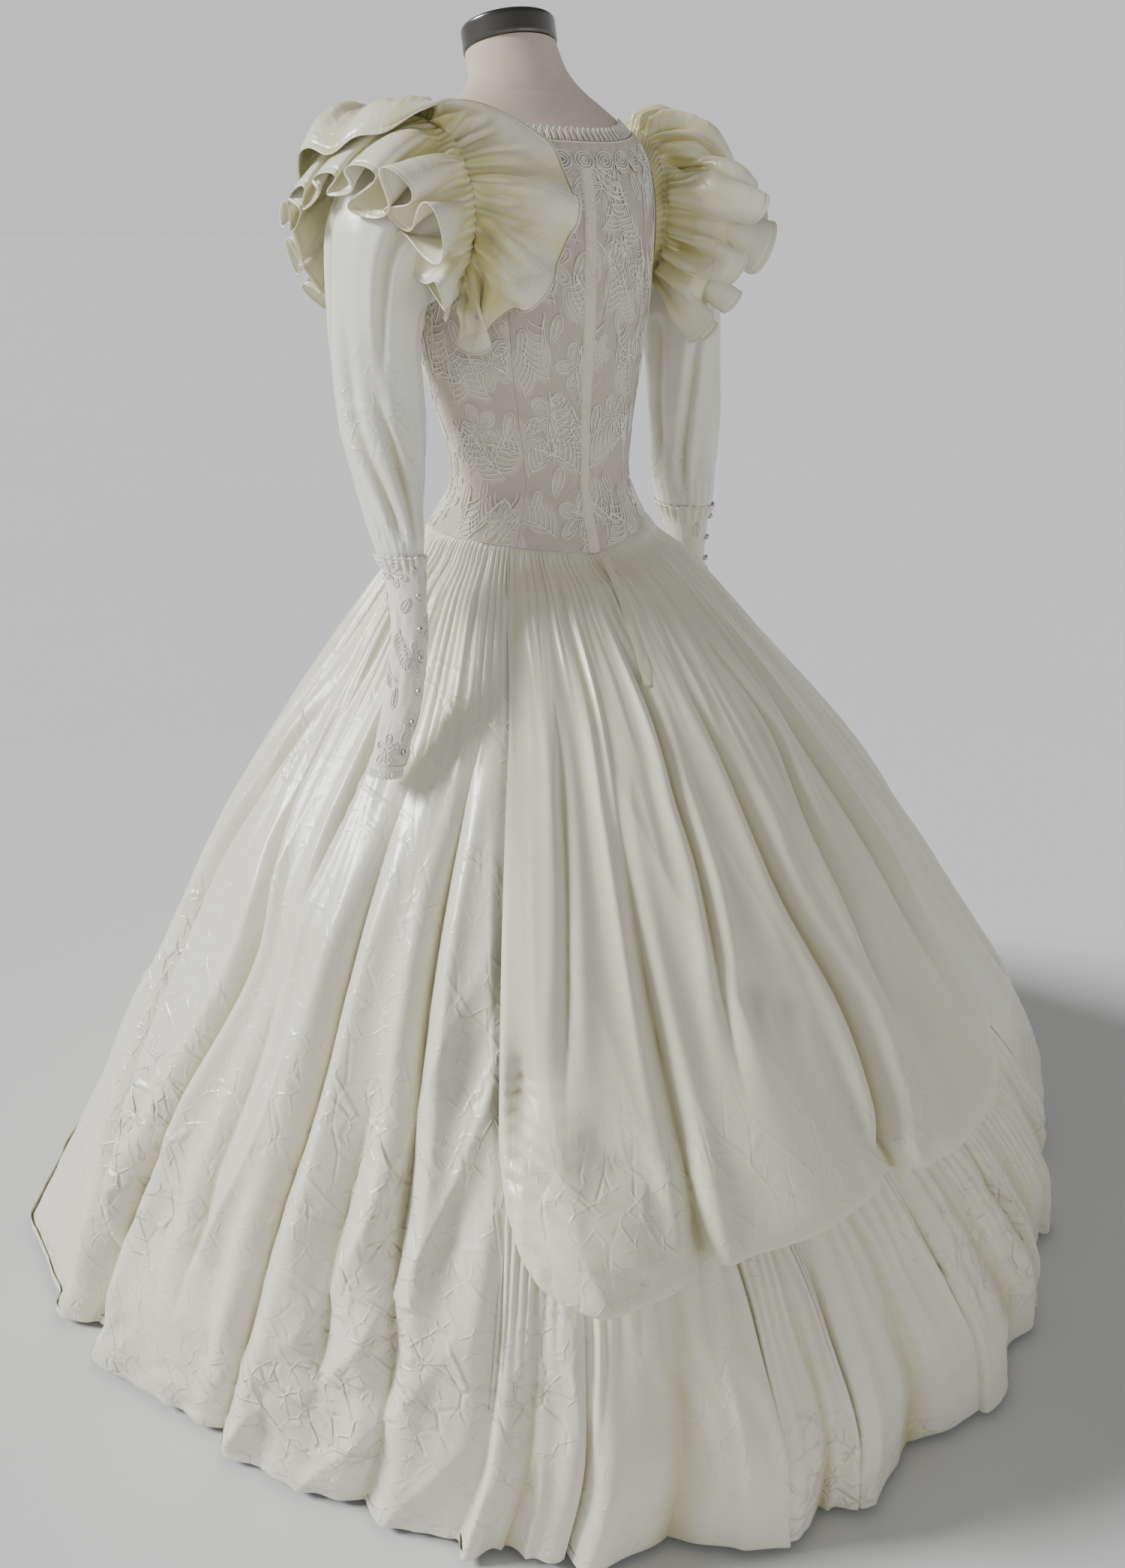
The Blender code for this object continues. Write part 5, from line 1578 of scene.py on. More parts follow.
def flounce():
    """Gathered flounce: uneven folds, each leaning over the gap beside its crest."""
    share = panel_shares(60, 0.44)
    starts = np.array([row[0] for row in FLOUNCE_LOBES] + [PANEL_EDGE])
    folds = len(FLOUNCE_LOBES)
    columns = folds * FLOUNCE_FOLD_COLUMNS + 1
    s = np.linspace(0.0, folds, columns)[:, None]
    cell = np.minimum(s.astype(int), folds - 1)
    t = s - cell
    depth = np.array([row[1] for row in FLOUNCE_LOBES])[cell]
    crest = np.array([row[2] for row in FLOUNCE_LOBES])[cell]
    width = starts[cell + 1] - starts[cell]
    lobe = np.where(crest < 0.5, flounce_fold(t, crest), flounce_fold(1.0 - t, 1.0 - crest))
    grown = share**0.8
    ends = smoothstep(np.minimum(s, folds - s), 0.0, 0.30)
    lean = FLOUNCE_LEAN * (0.5 - crest) * lobe * grown * ends
    hem_angle = starts[cell] + width * (t - lean)
    u = (hem_angle - starts[0]) / (starts[-1] - starts[0])
    z = FLOUNCE_TOP_Z + (HEM_Z - FLOUNCE_TOP_Z) * share + 0.0 * s
    angle = seam_angle(u, -PANEL_EDGE, PANEL_EDGE, z)
    seat = SKIRT_CLOTH + SEAM_GAP * 5.0 - UNDERSKIRT_DEPTH
    across = np.radians(starts[cell] + width * t) * FLOUNCE_RADIUS
    ripple = 0.08 * np.sin(3.0 * np.pi * t + 2.4 * cell) * np.sin(np.pi * t)
    out = seat + 0.004 * share + depth * grown * (lobe + ripple) * ends
    fine = np.abs(np.sin(np.pi * (s * 4.0 + 0.8 * noise(s * 2.0, share * 3.0, 41))))
    fine_end = 0.62 + 0.2 * noise(s * 2.0, 0.0, 44)
    out = out + 0.0050 * fine * smoothstep(fine_end - share, 0.0, 0.5)
    pleat = ridges(s * 3.1, share * 0.9, 42)
    out = out + 0.0055 * pleat * smoothstep(share, 0.1, 0.5) * ends
    patch = 0.25 + 0.75 * smoothstep(noise(across / 0.12, z / 0.14, 46), -0.1, 0.5)
    crush = patch * smoothstep(share, 0.05, 0.35)
    out = out + ends * crush * crushed_cloth(across, z, FLOUNCE_CRUSH, 43, 45)
    out = out - hem_stitch(z)
    grid = skirt_surface(angle, z, out)
    # Painted shade in the gaps between the folds and between the fine gathers, more of it near the top
    painted_shade = np.clip(1.0 - 2.2 * lobe, 0.0, 1.0) * grown * ends * 0.9
    painted_shade = painted_shade + 0.4 * (1.0 - fine) * (1.0 - share)
    item = sheet_mesh("flounce_cloth", turn_under(grid, HEM_DEPTH), SKIRT_TAFFETA,
                      fold=with_hem(painted_shade), crush=with_hem(0.8 * crush))
    return place_piece(item, "flounce", "taffeta")


def drape():
    """Back drape: gathered at the waist, with long soft folds, pouched and turned under."""
    u = np.linspace(0.0, 1.0, 290)[:, None]
    phi = -PANEL_EDGE + 2 * PANEL_EDGE * u
    share = np.linspace(0.0, 0.955, 150)[None, :]
    top = waist_z(phi) + 0.0005
    foot = DRAPE_EDGE("edge_z", phi)
    pouch = DRAPE_EDGE("pouch", phi)
    z = top + (foot - top) * share
    angle = seam_angle(u, -PANEL_EDGE, PANEL_EDGE, z, DRAPE_TRIMS)
    wave = fold_wave(phi, BACK_FOLDS / (2.0 * PANEL_EDGE), BACK_PHASE)
    reach = np.clip((share - DRAPE_SWELL_START) / (1.0 - DRAPE_SWELL_START), 0.0, 1.0)
    fold = DRAPE_FOLD * (0.35 + 0.55 * wave) * np.sin(np.pi * np.minimum(1.0, share / 1.1))
    near_edge = smoothstep(np.minimum(u, 1.0 - u), 0.0, 0.04)
    across = np.radians(angle) * skirt_radius(z)
    out = DRAPE_OUT + fold + pouch * reach**DRAPE_SWELL_POWER
    out = out + creases(angle, z, DRAPE_CREASES) * near_edge
    out = out + gathers(phi, share, 210) * 0.9
    out = out + drag_lines(across, z, share, DRAPE_DRAG, 216, 217) * near_edge
    for height, pinch, depth, size in DRAPE_PINCHES:
        away = np.hypot(np.radians(angle - pinch) * skirt_radius(z), (z - height) * 0.7) / size
        out = out - depth * np.exp(-away**2)
    beside = np.radians(PANEL_EDGE - angle) * skirt_radius(z)
    pouf, nip, crumple = (
        bell(beside, at, wide) * bell(z, height, tall)
        for _, at, wide, height, tall in (DRAPE_POUF, DRAPE_NIP, DRAPE_CRUMPLE))
    out = out + near_edge * (DRAPE_POUF[0] * pouf - DRAPE_NIP[0] * nip)
    hanging = 0.35 * smoothstep(share, 0.72, 0.97)
    out = out + DRAPE_CRUMPLE[0] * crumple * near_edge * crushed(across, z, 212, 0.050)
    fine = (0.10 + 0.30 * hanging + 0.90 * crumple) * near_edge * 0.007
    out = out + fine * crushed(across, z, 213, 0.030)
    swag = np.exp(-beside / 0.11) * smoothstep(z, 0.53, 0.47) * smoothstep(beside, 0.0, 0.012)
    slant = z / 0.021 + beside / 0.055 + 1.2 * noise(across / 0.05, z / 0.06, 218)
    out = out + swag * 0.0052 * (np.abs(np.sin(np.pi * slant)) - 0.6)
    ruched = np.exp(-beside / 0.035) * smoothstep(z, 0.58, 0.52) * smoothstep(beside, 0.0, 0.012)
    out = out + ruched * 0.0030 * np.sin(2 * np.pi * z / 0.014 + 2.0 * noise(across / 0.02, z / 0.05, 214))
    grid = leave_body(angle, z, share, DRAPE_TOP_OUT + gathers(phi, share, 210), out)
    # Painted shade where the cloth lies deep in a fold
    painted_shade = fold_painted_shade(out)
    crush = np.clip(0.10 + hanging + crumple + 0.5 * pouf, 0.0, 1.0)
    grid = np.concatenate([grid, pouch_rows(u, phi, foot, pouch, out[:, -1:], z[:, -1:])], 1)
    painted_shade = np.concatenate([painted_shade, np.tile(painted_shade[:, -1:], (1, POUCH_ROWS))], 1)
    crush = np.concatenate([crush, np.tile(crush[:, -1:], (1, POUCH_ROWS))], 1)
    item = sheet_mesh("drape_cloth", grid, DRAPE_TAFFETA, fold=painted_shade, crush=crush)
    return place_piece(item, "drape", "taffeta")


def pouch_rows(u, phi, foot, pouch, last_out, last_z):
    """The drape's lower edge, rolled round and under to where it is caught up inside."""
    turned = DRAPE_TURN_UNDER * np.minimum(1.0, pouch / DRAPE_FULL_POUCH)
    t = np.linspace(0.0, 1.0, POUCH_ROWS + 1)[None, 1:]
    weights = ((1 - t)**3, 3 * t * (1 - t)**2, 3 * t**2 * (1 - t), t**3)
    bottom = foot - 0.012
    heights = (last_z, bottom, bottom, foot + turned)
    reaches = (last_out, last_out + 0.002, pouch * 0.45, np.minimum(pouch * 0.26, 0.010))
    z = sum(weight * height for weight, height in zip(weights, heights))
    out = sum(weight * reach for weight, reach in zip(weights, reaches))
    out = out + 0.004 * np.sin(np.pi * t) * crushed(u, t * 0.06, 215, 0.045)
    angle = seam_angle(u, -PANEL_EDGE, PANEL_EDGE, z, DRAPE_TRIMS)
    return skirt_surface(angle, z, out)


def placket():
    """Lap over the opening at the drape's top, with a stitched edge."""
    u = np.linspace(-1.0, 1.0, 21)[:, None]
    share = np.linspace(0.0, 1.0, 50)[None, :]
    z = waist_top(0.0) - 0.001 - PLACKET_LENGTH * share + 0.0 * u
    angle = u * 1.6 + 7.0 * share
    edge = 1.0 - np.abs(u)
    out = 0.0114 - 0.002 * share - 0.0010 * np.exp(-edge / 0.08) - 0.0005 * bell(edge, 0.3, 0.08)
    out = out + 0.0009 * noise(u * 1.2, share * 7.0, 91)
    grid = skirt_surface(angle, z, out)
    # Painted shade: the whole lap is mixed a little towards the taffeta's fold shade
    item = sheet_mesh("placket_cloth", grid, DRAPE_TAFFETA, fold=0.15)
    return place_piece(item, "skirt_placket", "taffeta")


# Sleeves, ruffles and cuffs

def ring_frame(row):
    x, y, z, tilt, half_out, half_along, turn = row
    lean = math.radians(tilt)
    plan = math.radians(turn)
    level = np.array([math.cos(plan), math.sin(plan), 0.0])
    up = level * math.sin(lean) + np.array([0.0, 0.0, math.cos(lean)])
    along = np.array([-math.sin(plan), math.cos(plan), 0.0])
    return np.array([x, y, z]), up * half_out, along * half_along


def ring_points(row, psi):
    centre, up, along = ring_frame(row)
    turn = psi[:, None]
    return centre + up * np.cos(turn) + along * np.sin(turn)


def armhole_points(psi, clear=ARMHOLE_CLEAR):
    z = ARMHOLE_Z + (ARMHOLE_HALF_HEIGHT + 0.006) * np.cos(psi)
    phi = 90.0 - (ARMHOLE_HALF_ANGLE + 2.0) * np.sin(psi)
    return body_surface(phi, z, EASE + CLOTH + clear)


def through_rings(rings, rows):
    """A smooth tube through rings of points; gives a grid, columns by rows, and the ring place."""
    rings = np.array(rings)
    middles = rings.mean(1)
    lengths = np.concatenate([[0.0], np.cumsum(np.linalg.norm(np.diff(middles, axis=0), axis=1))])
    place = np.linspace(0.0, lengths[-1], rows)
    count, columns = rings.shape[:2]
    grid = np.empty((columns, rows, 3))
    for axis in range(3):
        for column in range(columns):
            path = Table(("at", "value"), list(zip(lengths, rings[:, column, axis])))
            grid[column, :, axis] = path("value", place)
    return grid, place / lengths[-1]


# Long soft folds of the sleeves: angle round the arm, slant, half width, depth, first and last share
LEFT_SLEEVE_FOLDS = (
    (1.25, 0.4, 0.12, -0.0050, 0.04, 0.45),
    (2.30, -0.7, 0.14, -0.0060, 0.20, 0.80),
    (1.05, 0.5, 0.12, -0.0045, 0.55, 1.00),
    (0.35, 0.9, 0.16, -0.0050, 0.42, 0.95),
    (-0.60, -0.6, 0.18, -0.0055, 0.12, 0.65),
    (-1.70, 0.6, 0.18, -0.0060, 0.25, 0.85),
    (3.30, -0.5, 0.16, -0.0050, 0.35, 1.00),
)
RIGHT_SLEEVE_FOLDS = (
    (1.40, -0.8, 0.14, -0.0050, 0.25, 0.75),
    (2.20, 0.7, 0.14, -0.0060, 0.40, 0.95),
    (0.40, -0.7, 0.18, -0.0045, 0.45, 1.00),
    (-0.70, 0.6, 0.18, -0.0050, 0.15, 0.70),
    (-1.80, -0.6, 0.18, -0.0050, 0.25, 0.85),
    (3.10, 0.5, 0.18, -0.0045, 0.30, 0.90),
)


def sleeve(side, sign, table, folds, seed):
    """A sleeve from its armhole to where it is gathered into its cuff."""
    psi = np.linspace(0.0, 2 * math.pi, SLEEVE_STEPS, endpoint=False)
    rings = [armhole_points(psi)] + [ring_points(row, psi) for row in table]
    grid, share = through_rings(rings, 120)
    turn = psi[:, None]
    share = share[None, :]
    height = 0.0
    for place, slant, width, depth, start, end in folds:
        middle = place + slant * (share - 0.5) + 0.12 * np.sin(7.0 * share + place)
        away = np.abs((turn - middle + math.pi) % (2 * math.pi) - math.pi) / width
        fade = smoothstep(share, start - 0.08, start + 0.15) * smoothstep(end + 0.08 - share, 0.0, 0.2)
        height = height + depth * fade * trough(away, 1.2, 0.55, 1.7)
    across = turn * ARM_RADIUS
    down = share * SLEEVE_LENGTH
    height = height + 0.0075 * crushed(across, down, seed, 0.070) * smoothstep(share, 0.1, 0.3)
    height = height + 0.0026 * crushed(across, down, seed + 6, 0.032) * smoothstep(share, 0.2, 0.5)
    gather = smoothstep(share, 0.84, 1.0)
    pinch = np.abs(np.sin(turn * 10.0 + 0.8 * noise(turn * 3.0, share * 5.0, seed + 4)))
    height = height + 0.0024 * gather * pinch
    head = smoothstep(0.10 - share, 0.0, 0.10)
    height = height * (1.0 - 0.7 * head) * smoothstep(1.0 - share, -0.04, 0.10)
    normals = outward_normals(grid)
    # Painted shade in the sleeve's troughs
    painted_shade = np.clip(-height / 0.010, 0.0, 1.0)
    grid = grid + normals * (height[..., None] - 0.0004)
    grid[..., 0] *= sign
    crush = 0.15 + 0.45 * smoothstep(share, 0.3, 0.7)
    item = tube_mesh("sleeve_%s_cloth" % side, grid, SLEEVE_TAFFETA, painted_shade, crush)
    return place_piece(item, "sleeve_" + side, "taffeta")


def outward_normals(grid):
    """Normals of a tube, away from its middle."""
    normals = grid_normals(grid, closed=True)
    if (normals * (grid - grid.mean(0, keepdims=True))).sum() < 0.0:
        return -normals
    return normals


def with_hem(values):
    """The same values again for the rows of a turned-up hem."""
    return np.concatenate([values, np.tile(values[:, -1:], (1, 3))], 1)


def ruffle(node, table, ring, sign, phase, curl, surge, fan_depth, seed):
    """Half of a gathered strip, from its gathering line to its narrow rolled hem."""
    step = np.linspace(0.0, 1.0, RUFFLE_STEPS)[:, None]
    psi = RUFFLE_REACH * (1.0 - 2.0 * step)
    turn = np.radians(psi)
    centre, up, along = ring_frame(ring)
    up = up * (1.0 + RUFFLE_SEAT / np.linalg.norm(up))
    along = along * (1.0 + RUFFLE_SEAT / np.linalg.norm(along))
    seat = centre + up * np.cos(turn) + along * np.sin(turn)
    edge = np.concatenate([table(key, psi) for key in ("edge_x", "edge_y", "edge_z")], 1)
    radial = np.concatenate([0.0 * turn, np.sin(turn), np.cos(turn)], 1)
    lift = table("lift", psi)
    depth = table("wave", psi) * surge
    middle = (seat + edge) / 2.0 + radial * lift * 2.0
    theta = 2 * np.pi * (RUFFLE_WAVES * step) + phase + 0.9 * noise(step * 9.0, 0.0, seed)
    size = 1.0 + 0.45 * noise(step * 12.0, 0.0, seed + 1)
    swell = np.sin(theta) * size
    run = np.gradient(edge, axis=0)
    run /= np.maximum(np.linalg.norm(run, axis=1, keepdims=True), 1e-9)
    shares = np.concatenate([np.linspace(0.0, 0.93, 38, endpoint=False), np.linspace(0.93, 1.0, 10)])
    share = shares[None, :, None]
    rooted = seat[:, None] * (1 - share)**2
    grid = rooted + middle[:, None] * 2 * share * (1 - share) + edge[:, None] * share**2
    growth = share**1.4
    grid = grid + radial[:, None] * (depth * swell)[:, None] * growth
    slide = -curl * size * np.sin(2.0 * theta + 0.4) * smoothstep(depth, 0.004, 0.018)
    grid = grid + run[:, None] * slide[:, None] * growth
    flat = share[..., 0]
    normals = grid_normals(grid)
    drift = 0.5 * noise(step * 14.0, flat * 1.5, seed + 6)
    fan = ridges(step * 20.0 + drift, flat * 0.6, seed + 2, 2.2)
    fine = ridges(step * RUFFLE_GATHERS, flat, seed + 3, 2.2)
    fan = fan + 0.35 * fine * smoothstep(0.9 - flat, 0.0, 0.5)
    height = fan_depth * fan * smoothstep(flat, 0.0, 0.10) * smoothstep(1.08 - flat, 0.0, 0.75)
    crush = 0.0080 * crushed(step * 0.75, flat * 0.14, seed + 4, 0.050)
    height = height + crush * smoothstep(flat, 0.15, 0.4) * (1.0 - 0.5 * flat)
    pinch = np.abs(np.sin(np.pi * RUFFLE_GATHERS * step + 1.2 * noise(step * 30.0, 0.0, seed + 5)))
    height = height + 0.0026 * pinch * smoothstep(0.30 - flat, 0.0, 0.26)
    height = height - 0.0008 * bell(flat, 0.955, 0.012)
    # Painted shade near the gathering line, between the gathers, in the hollows of the waves and in the creases
    painted_shade = np.clip(0.60 - 0.8 * flat + 0.5 * (1.0 - pinch) * (1.0 - flat), 0.0, 1.0)
    painted_shade = painted_shade + 0.5 * smoothstep(-swell, 0.0, 1.0) * flat + 70.0 * np.clip(-height, 0.0, 0.01)
    grid = grid + normals * height[..., None]
    inside = grid[:, -4:-1][:, ::-1] - normals[:, -4:-1][:, ::-1] * 0.0014
    grid = np.concatenate([grid, inside], 1)
    painted_shade = np.concatenate([painted_shade, painted_shade[:, -3:]], 1)
    if "inner" in node:
        root = armhole_points(turn[:, 0], 0.0035)[:, None]
        allowance = root + (grid[:, :1] - root) * np.linspace(0.0, 0.9, 4)[None, :, None]
        grid = np.concatenate([allowance, grid], 1)
        painted_shade = np.concatenate([np.tile(painted_shade[:, :1], (1, 4)), painted_shade], 1)
    grid[..., 0] *= sign
    item = sheet_mesh(node + "_cloth", grid, RUFFLE_TAFFETA, fold=np.clip(painted_shade, 0.0, 1.0),
                      centre=(sign * 0.10, 0.0), crush=0.35)
    return place_piece(item, node, "taffeta")


def cuff(side, sign, sleeve_row, table, seed):
    """Lace cuff with corded flowers, a puckered top and a picot edge at the hand."""
    psi = np.linspace(0.0, 2 * math.pi, CUFF_STEPS, endpoint=False)
    centre, up, along = ring_frame(sleeve_row)
    down = np.cross(along, up)
    start = ring_points(sleeve_row, psi) - down / np.linalg.norm(down) * 0.0030
    rings = [start] + [ring_points(row, psi) for row in table]
    grid, share = through_rings(rings, 84)
    turn = psi[:, None]
    share = share[None, :]
    motifs = cuff_motifs(seed)
    fill = motif_fill(turn * CUFF_RADIUS, share * CUFF_LENGTH, motifs)
    pucker = (0.0012 + 0.0030 * np.abs(np.sin(turn * 11.0))) * smoothstep(0.12 - share, 0.0, 0.10)
    height = 0.0004 * fill + 0.0012 * noise(turn * 3.0, share * 12.0, seed + 1) + pucker
    normals = outward_normals(grid)
    grid = grid + normals * height[..., None]
    cords = Cords()
    flip = np.array([sign, 1.0, 1.0])
    for x, at, size, way, kind, hand in motifs:
        for run, closed in motif_runs(kind, size, way, hand):
            run = finer(run + np.array([x, at]), closed, 0.0028)
            inside = (run[:, 1] > 0.004) & (run[:, 1] < CUFF_LENGTH - 0.003)
            for piece, ends in split_runs(run, inside, closed):
                angle = piece[:, 0] / CUFF_RADIUS
                point, normal = on_tube(grid, normals, angle, piece[:, 1] / CUFF_LENGTH, CUFF_CORD_LIFT)
                cords.add(point * flip, normal * flip, 0.00095, ends)
    around = np.linspace(0.0, 2 * math.pi, 72, endpoint=False)
    for at in (0.015, 0.975):
        point, normal = on_tube(grid, normals, around, 0.0 * around + at, CUFF_CORD_LIFT)
        cords.add(point * flip, normal * flip, 0.0008, True)
    for loop in range(CUFF_LOOPS):
        a = np.linspace(-0.3 * math.pi, 1.3 * math.pi, 9)
        angle = 2 * math.pi * (loop + 0.5) / CUFF_LOOPS + 0.08 * np.cos(a)
        point, normal = on_tube(grid, normals, angle, 0.0 * a + 1.0, 0.0)
        inner, _ = on_tube(grid, normals, angle, 0.0 * a + 0.97, 0.0)
        outward = point - inner
        outward /= np.linalg.norm(outward, axis=1, keepdims=True)
        point = point + outward * (0.0036 + 0.0046 * np.sin(a))[:, None]
        cords.add(point * flip, normal * flip, 0.0009)
    item = tube_mesh("cuff_%s_net" % side, grid * flip, CUFF_LACE, fill)
    place_piece(item, "cuff_" + side, "corded_lace")
    cord = cords.build("cuff_%s_cords" % side, LACE_CORD)
    place_piece(cord, None, "corded_lace")
    return item, cord


def on_tube(grid, normals, angle, at, out):
    """Points and normals at angles round a tube and shares along it, lifted off it by out."""
    columns, rows = grid.shape[:2]
    column = (angle / (2 * math.pi) * columns) % columns
    row = np.clip(at, 0.0, 1.0) * (rows - 1)
    c0 = column.astype(int) % columns
    c1 = (c0 + 1) % columns
    r0 = np.minimum(row.astype(int), rows - 2)
    fc = (column - column.astype(int))[:, None]
    fr = (row - r0)[:, None]
    point = (grid[c0, r0] * (1 - fc) + grid[c1, r0] * fc) * (1 - fr)
    point = point + (grid[c0, r0 + 1] * (1 - fc) + grid[c1, r0 + 1] * fc) * fr
    normal = normals[c0, r0]
    return point + normal * out, normal


def cuff_motifs(seed):
    """Three motifs to a row round the cuff: (round, along, size, turn, kind, hand)."""
    random = np.random.default_rng(seed)
    motifs = []
    at = 0.018
    index = 0
    while at < CUFF_LENGTH:
        for column in range(3):
            kind = ("flower", "leaf", "plume")[(index + column) % 3]
            x = 0.044 * column + 0.014 * (index % 2) + random.uniform(-0.003, 0.003)
            size = CUFF_SIZES[kind]
            motifs.append((x, at + random.uniform(-0.003, 0.003), size, random.uniform(0.9, 2.2), kind,
                           random.choice([-1.0, 1.0])))
        at += 0.026
        index += 1
    return motifs


def cuff_buttons():
    """Small pearly domes down each cuff, each held by a thread loop."""
    for side in ("left", "right"):
        loops = Cords()
        for index in range(1, BUTTONS + 1):
            node = "button_%s_%d" % (side, index)
            solid = bpy.data.objects[node]
            points = np.array([solid.matrix_world @ vertex.co for vertex in solid.data.vertices])
            base, top = button_axis(points)
            outward = top - base
            outward /= np.linalg.norm(outward)
            first = np.cross(outward, np.array([0.0, 0.0, 1.0]))
            first /= np.linalg.norm(first)
            second = np.cross(outward, first)
            turn = np.linspace(0.0, 2 * math.pi, 24, endpoint=False)[:, None, None]
            level = np.array([row[0] for row in BUTTON_PROFILE])[None, :, None] * BUTTON_HEIGHT
            reach = np.array([row[1] for row in BUTTON_PROFILE])[None, :, None] * BUTTON_RADIUS
            grid = base + outward * level + reach * (first * np.cos(turn) + second * np.sin(turn))
            item = tube_mesh("cuff_button_%s_%d" % (side, index), grid, BUTTON_PEARL, 0.0)
            place_piece(item, node, "button")
            a = np.linspace(0.0, 2 * math.pi, 16)
            away = first if abs(first[2]) < abs(second[2]) else second
            other = np.cross(outward, away)
            loop = base + outward * 0.0006 + np.outer(np.cos(a), away) * LOOP_REACH
            loop = loop + np.outer(np.sin(a), other) * LOOP_HALF_WIDTH + away * 0.0040
            loops.add(loop, np.tile(outward, (len(loop), 1)), 0.00045)
        item = loops.build("cuff_loops_" + side, PICOT_THREAD)
        place_piece(item, None, "corded_lace")


def button_axis(points):
    """Middle of a button's seat and of its top, from its solid's corners."""
    return points[:BUTTON_SIDES].mean(0), points[-BUTTON_SIDES:].mean(0)


# Light, floor and camera

CAMERA_TURN = 147.0       # degrees round the form from the front, towards its left
CAMERA_DISTANCE = 1.57
CAMERA_HEIGHT = 1.34
CAMERA_PITCH = 25.0
CAMERA_YAW = math.degrees(math.atan(35.0 / 1600.0))
PICTURE_HEIGHT = 2091.0
LENS_PIXELS = 1600.0
SENSOR = 36.0
# Ways and places are to the camera's right, towards it, and up
KEY_STRENGTH = 4.6
KEY_WIDTH = 16.0
KEY_WAY = (-0.82, -0.02, 0.56)
KEY_COLOUR = (0.985, 0.99, 1.0)
FILL_PLACE = (2.6, 2.6, 1.4)
FILL_SIZE = (2.6, 2.6)
FILL_POWER = 10.0
FILL_COLOUR = (0.92, 0.965, 1.0)
DRESS_MIDDLE = (0.0, 0.0, 0.7)
ROOM_STRENGTH = 0.20
HORIZON_STRENGTH = 0.764
HORIZON_BAND = (0.26, 0.62)
FLOOR_HALF = 200.0
FLOOR_COLOURS = ((0.705, 0.705, 0.70), (0.715, 0.715, 0.71))


def camera_axes():
    turn = math.radians(CAMERA_TURN)
    pitch = math.radians(CAMERA_PITCH)
    yaw = math.radians(CAMERA_YAW)
    towards = Vector((math.sin(turn), -math.cos(turn), 0.0))
    right = Vector((math.cos(turn), math.sin(turn), 0.0))
    up = Vector((0.0, 0.0, 1.0))
    level = -towards * math.cos(yaw) + right * math.sin(yaw)
    side = right * math.cos(yaw) + towards * math.sin(yaw)
    forward = level * math.cos(pitch) - up * math.sin(pitch)
    above = level * math.sin(pitch) + up * math.cos(pitch)
    place = towards * CAMERA_DISTANCE + up * CAMERA_HEIGHT
    return place, side, above, forward, towards, right


def camera():
    place, side, above, forward, _, _ = camera_axes()
    lens = bpy.data.cameras.new("camera")
    lens.sensor_width = SENSOR
    lens.lens = LENS_PIXELS / PICTURE_HEIGHT * SENSOR
    lens.clip_start = 0.01
    item = bpy.data.objects.new("camera", lens)
    axes = Matrix((side, above, -forward)).transposed().to_4x4()
    item.matrix_world = Matrix.Translation(place) @ axes
    bpy.context.scene.collection.objects.link(item)
    bpy.context.scene.camera = item


def soft_light(name, place, target, size, power, colour):
    light = bpy.data.lights.new(name, "AREA")
    light.shape = "RECTANGLE"
    light.size, light.size_y = size
    light.energy = power
    light.color = colour
    item = bpy.data.objects.new(name, light)
    item.location = place
    item.rotation_euler = (Vector(target) - Vector(place)).to_track_quat("-Z", "Y").to_euler()
    bpy.context.scene.collection.objects.link(item)


def studio():
    """Soft sun from the left, a faint fill from the right, and a pale room that meets the floor."""
    _, _, _, _, towards, right = camera_axes()
    up = Vector((0.0, 0.0, 1.0))
    key_way, fill_place = (right * aside + towards * near + up * high
                           for aside, near, high in (KEY_WAY, FILL_PLACE))
    sun = bpy.data.lights.new("key_light", "SUN")
    sun.energy = KEY_STRENGTH
    sun.angle = math.radians(KEY_WIDTH)
    sun.color = KEY_COLOUR
    item = bpy.data.objects.new("key_light", sun)
    item.rotation_euler = (-key_way).to_track_quat("-Z", "Y").to_euler()
    bpy.context.scene.collection.objects.link(item)
    soft_light("fill_light", fill_place, DRESS_MIDDLE, FILL_SIZE, FILL_POWER, FILL_COLOUR)
    world = bpy.data.worlds.new("pale_room")
    world.use_nodes = True
    tree = world.node_tree
    background = tree.nodes["Background"]
    way = add_node(tree, "ShaderNodeTexCoord").outputs["Generated"]
    level = add_node(tree, "ShaderNodeSeparateXYZ", {0: way}).outputs["Z"]
    strength = remap(tree, level, *HORIZON_BAND, HORIZON_STRENGTH, ROOM_STRENGTH,
                     interpolation_type="SMOOTHSTEP")
    set_inputs(tree, background, {"Color": (1.0, 1.0, 1.0, 1.0), "Strength": strength})
    bpy.context.scene.world = world
    corners = FLOOR_HALF * np.array([[-1.0, -1.0, 0.0], [1.0, -1.0, 0.0], [1.0, 1.0, 0.0], [-1.0, 1.0, 0.0]])
    material, tree, shader, place = new_material("floor_paint")
    tone = use_group(tree, TONE, place, 0.6)["Tone"]
    set_inputs(tree, shader, {
        "Base Color": mix_colours(tree, tone, *FLOOR_COLOURS),
        "Roughness": 0.95,
        "Specular IOR Level": 0.1,
    })
    floor = link("floor", corners, np.array([[0, 1, 2, 3]]), material, smooth=False)
    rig.stage(floor)


# The whole dress

# Full length panels: first and last angle at the waist, columns, creases, seed, trims of its edges
FULL_PANELS = (
    ("skirt_left", PANEL_EDGE, FRONT_EDGE, 290, LEFT_CREASES, 500, (-0.003, 0.0)),
    ("skirt_front", FRONT_EDGE, 360.0 - FRONT_EDGE, 220, FRONT_CREASES, 600, (0.0, 0.0)),
    ("skirt_right", 360.0 - FRONT_EDGE, 360.0 - PANEL_EDGE, 250, RIGHT_CREASES, 700, (0.0, -0.003)),
)
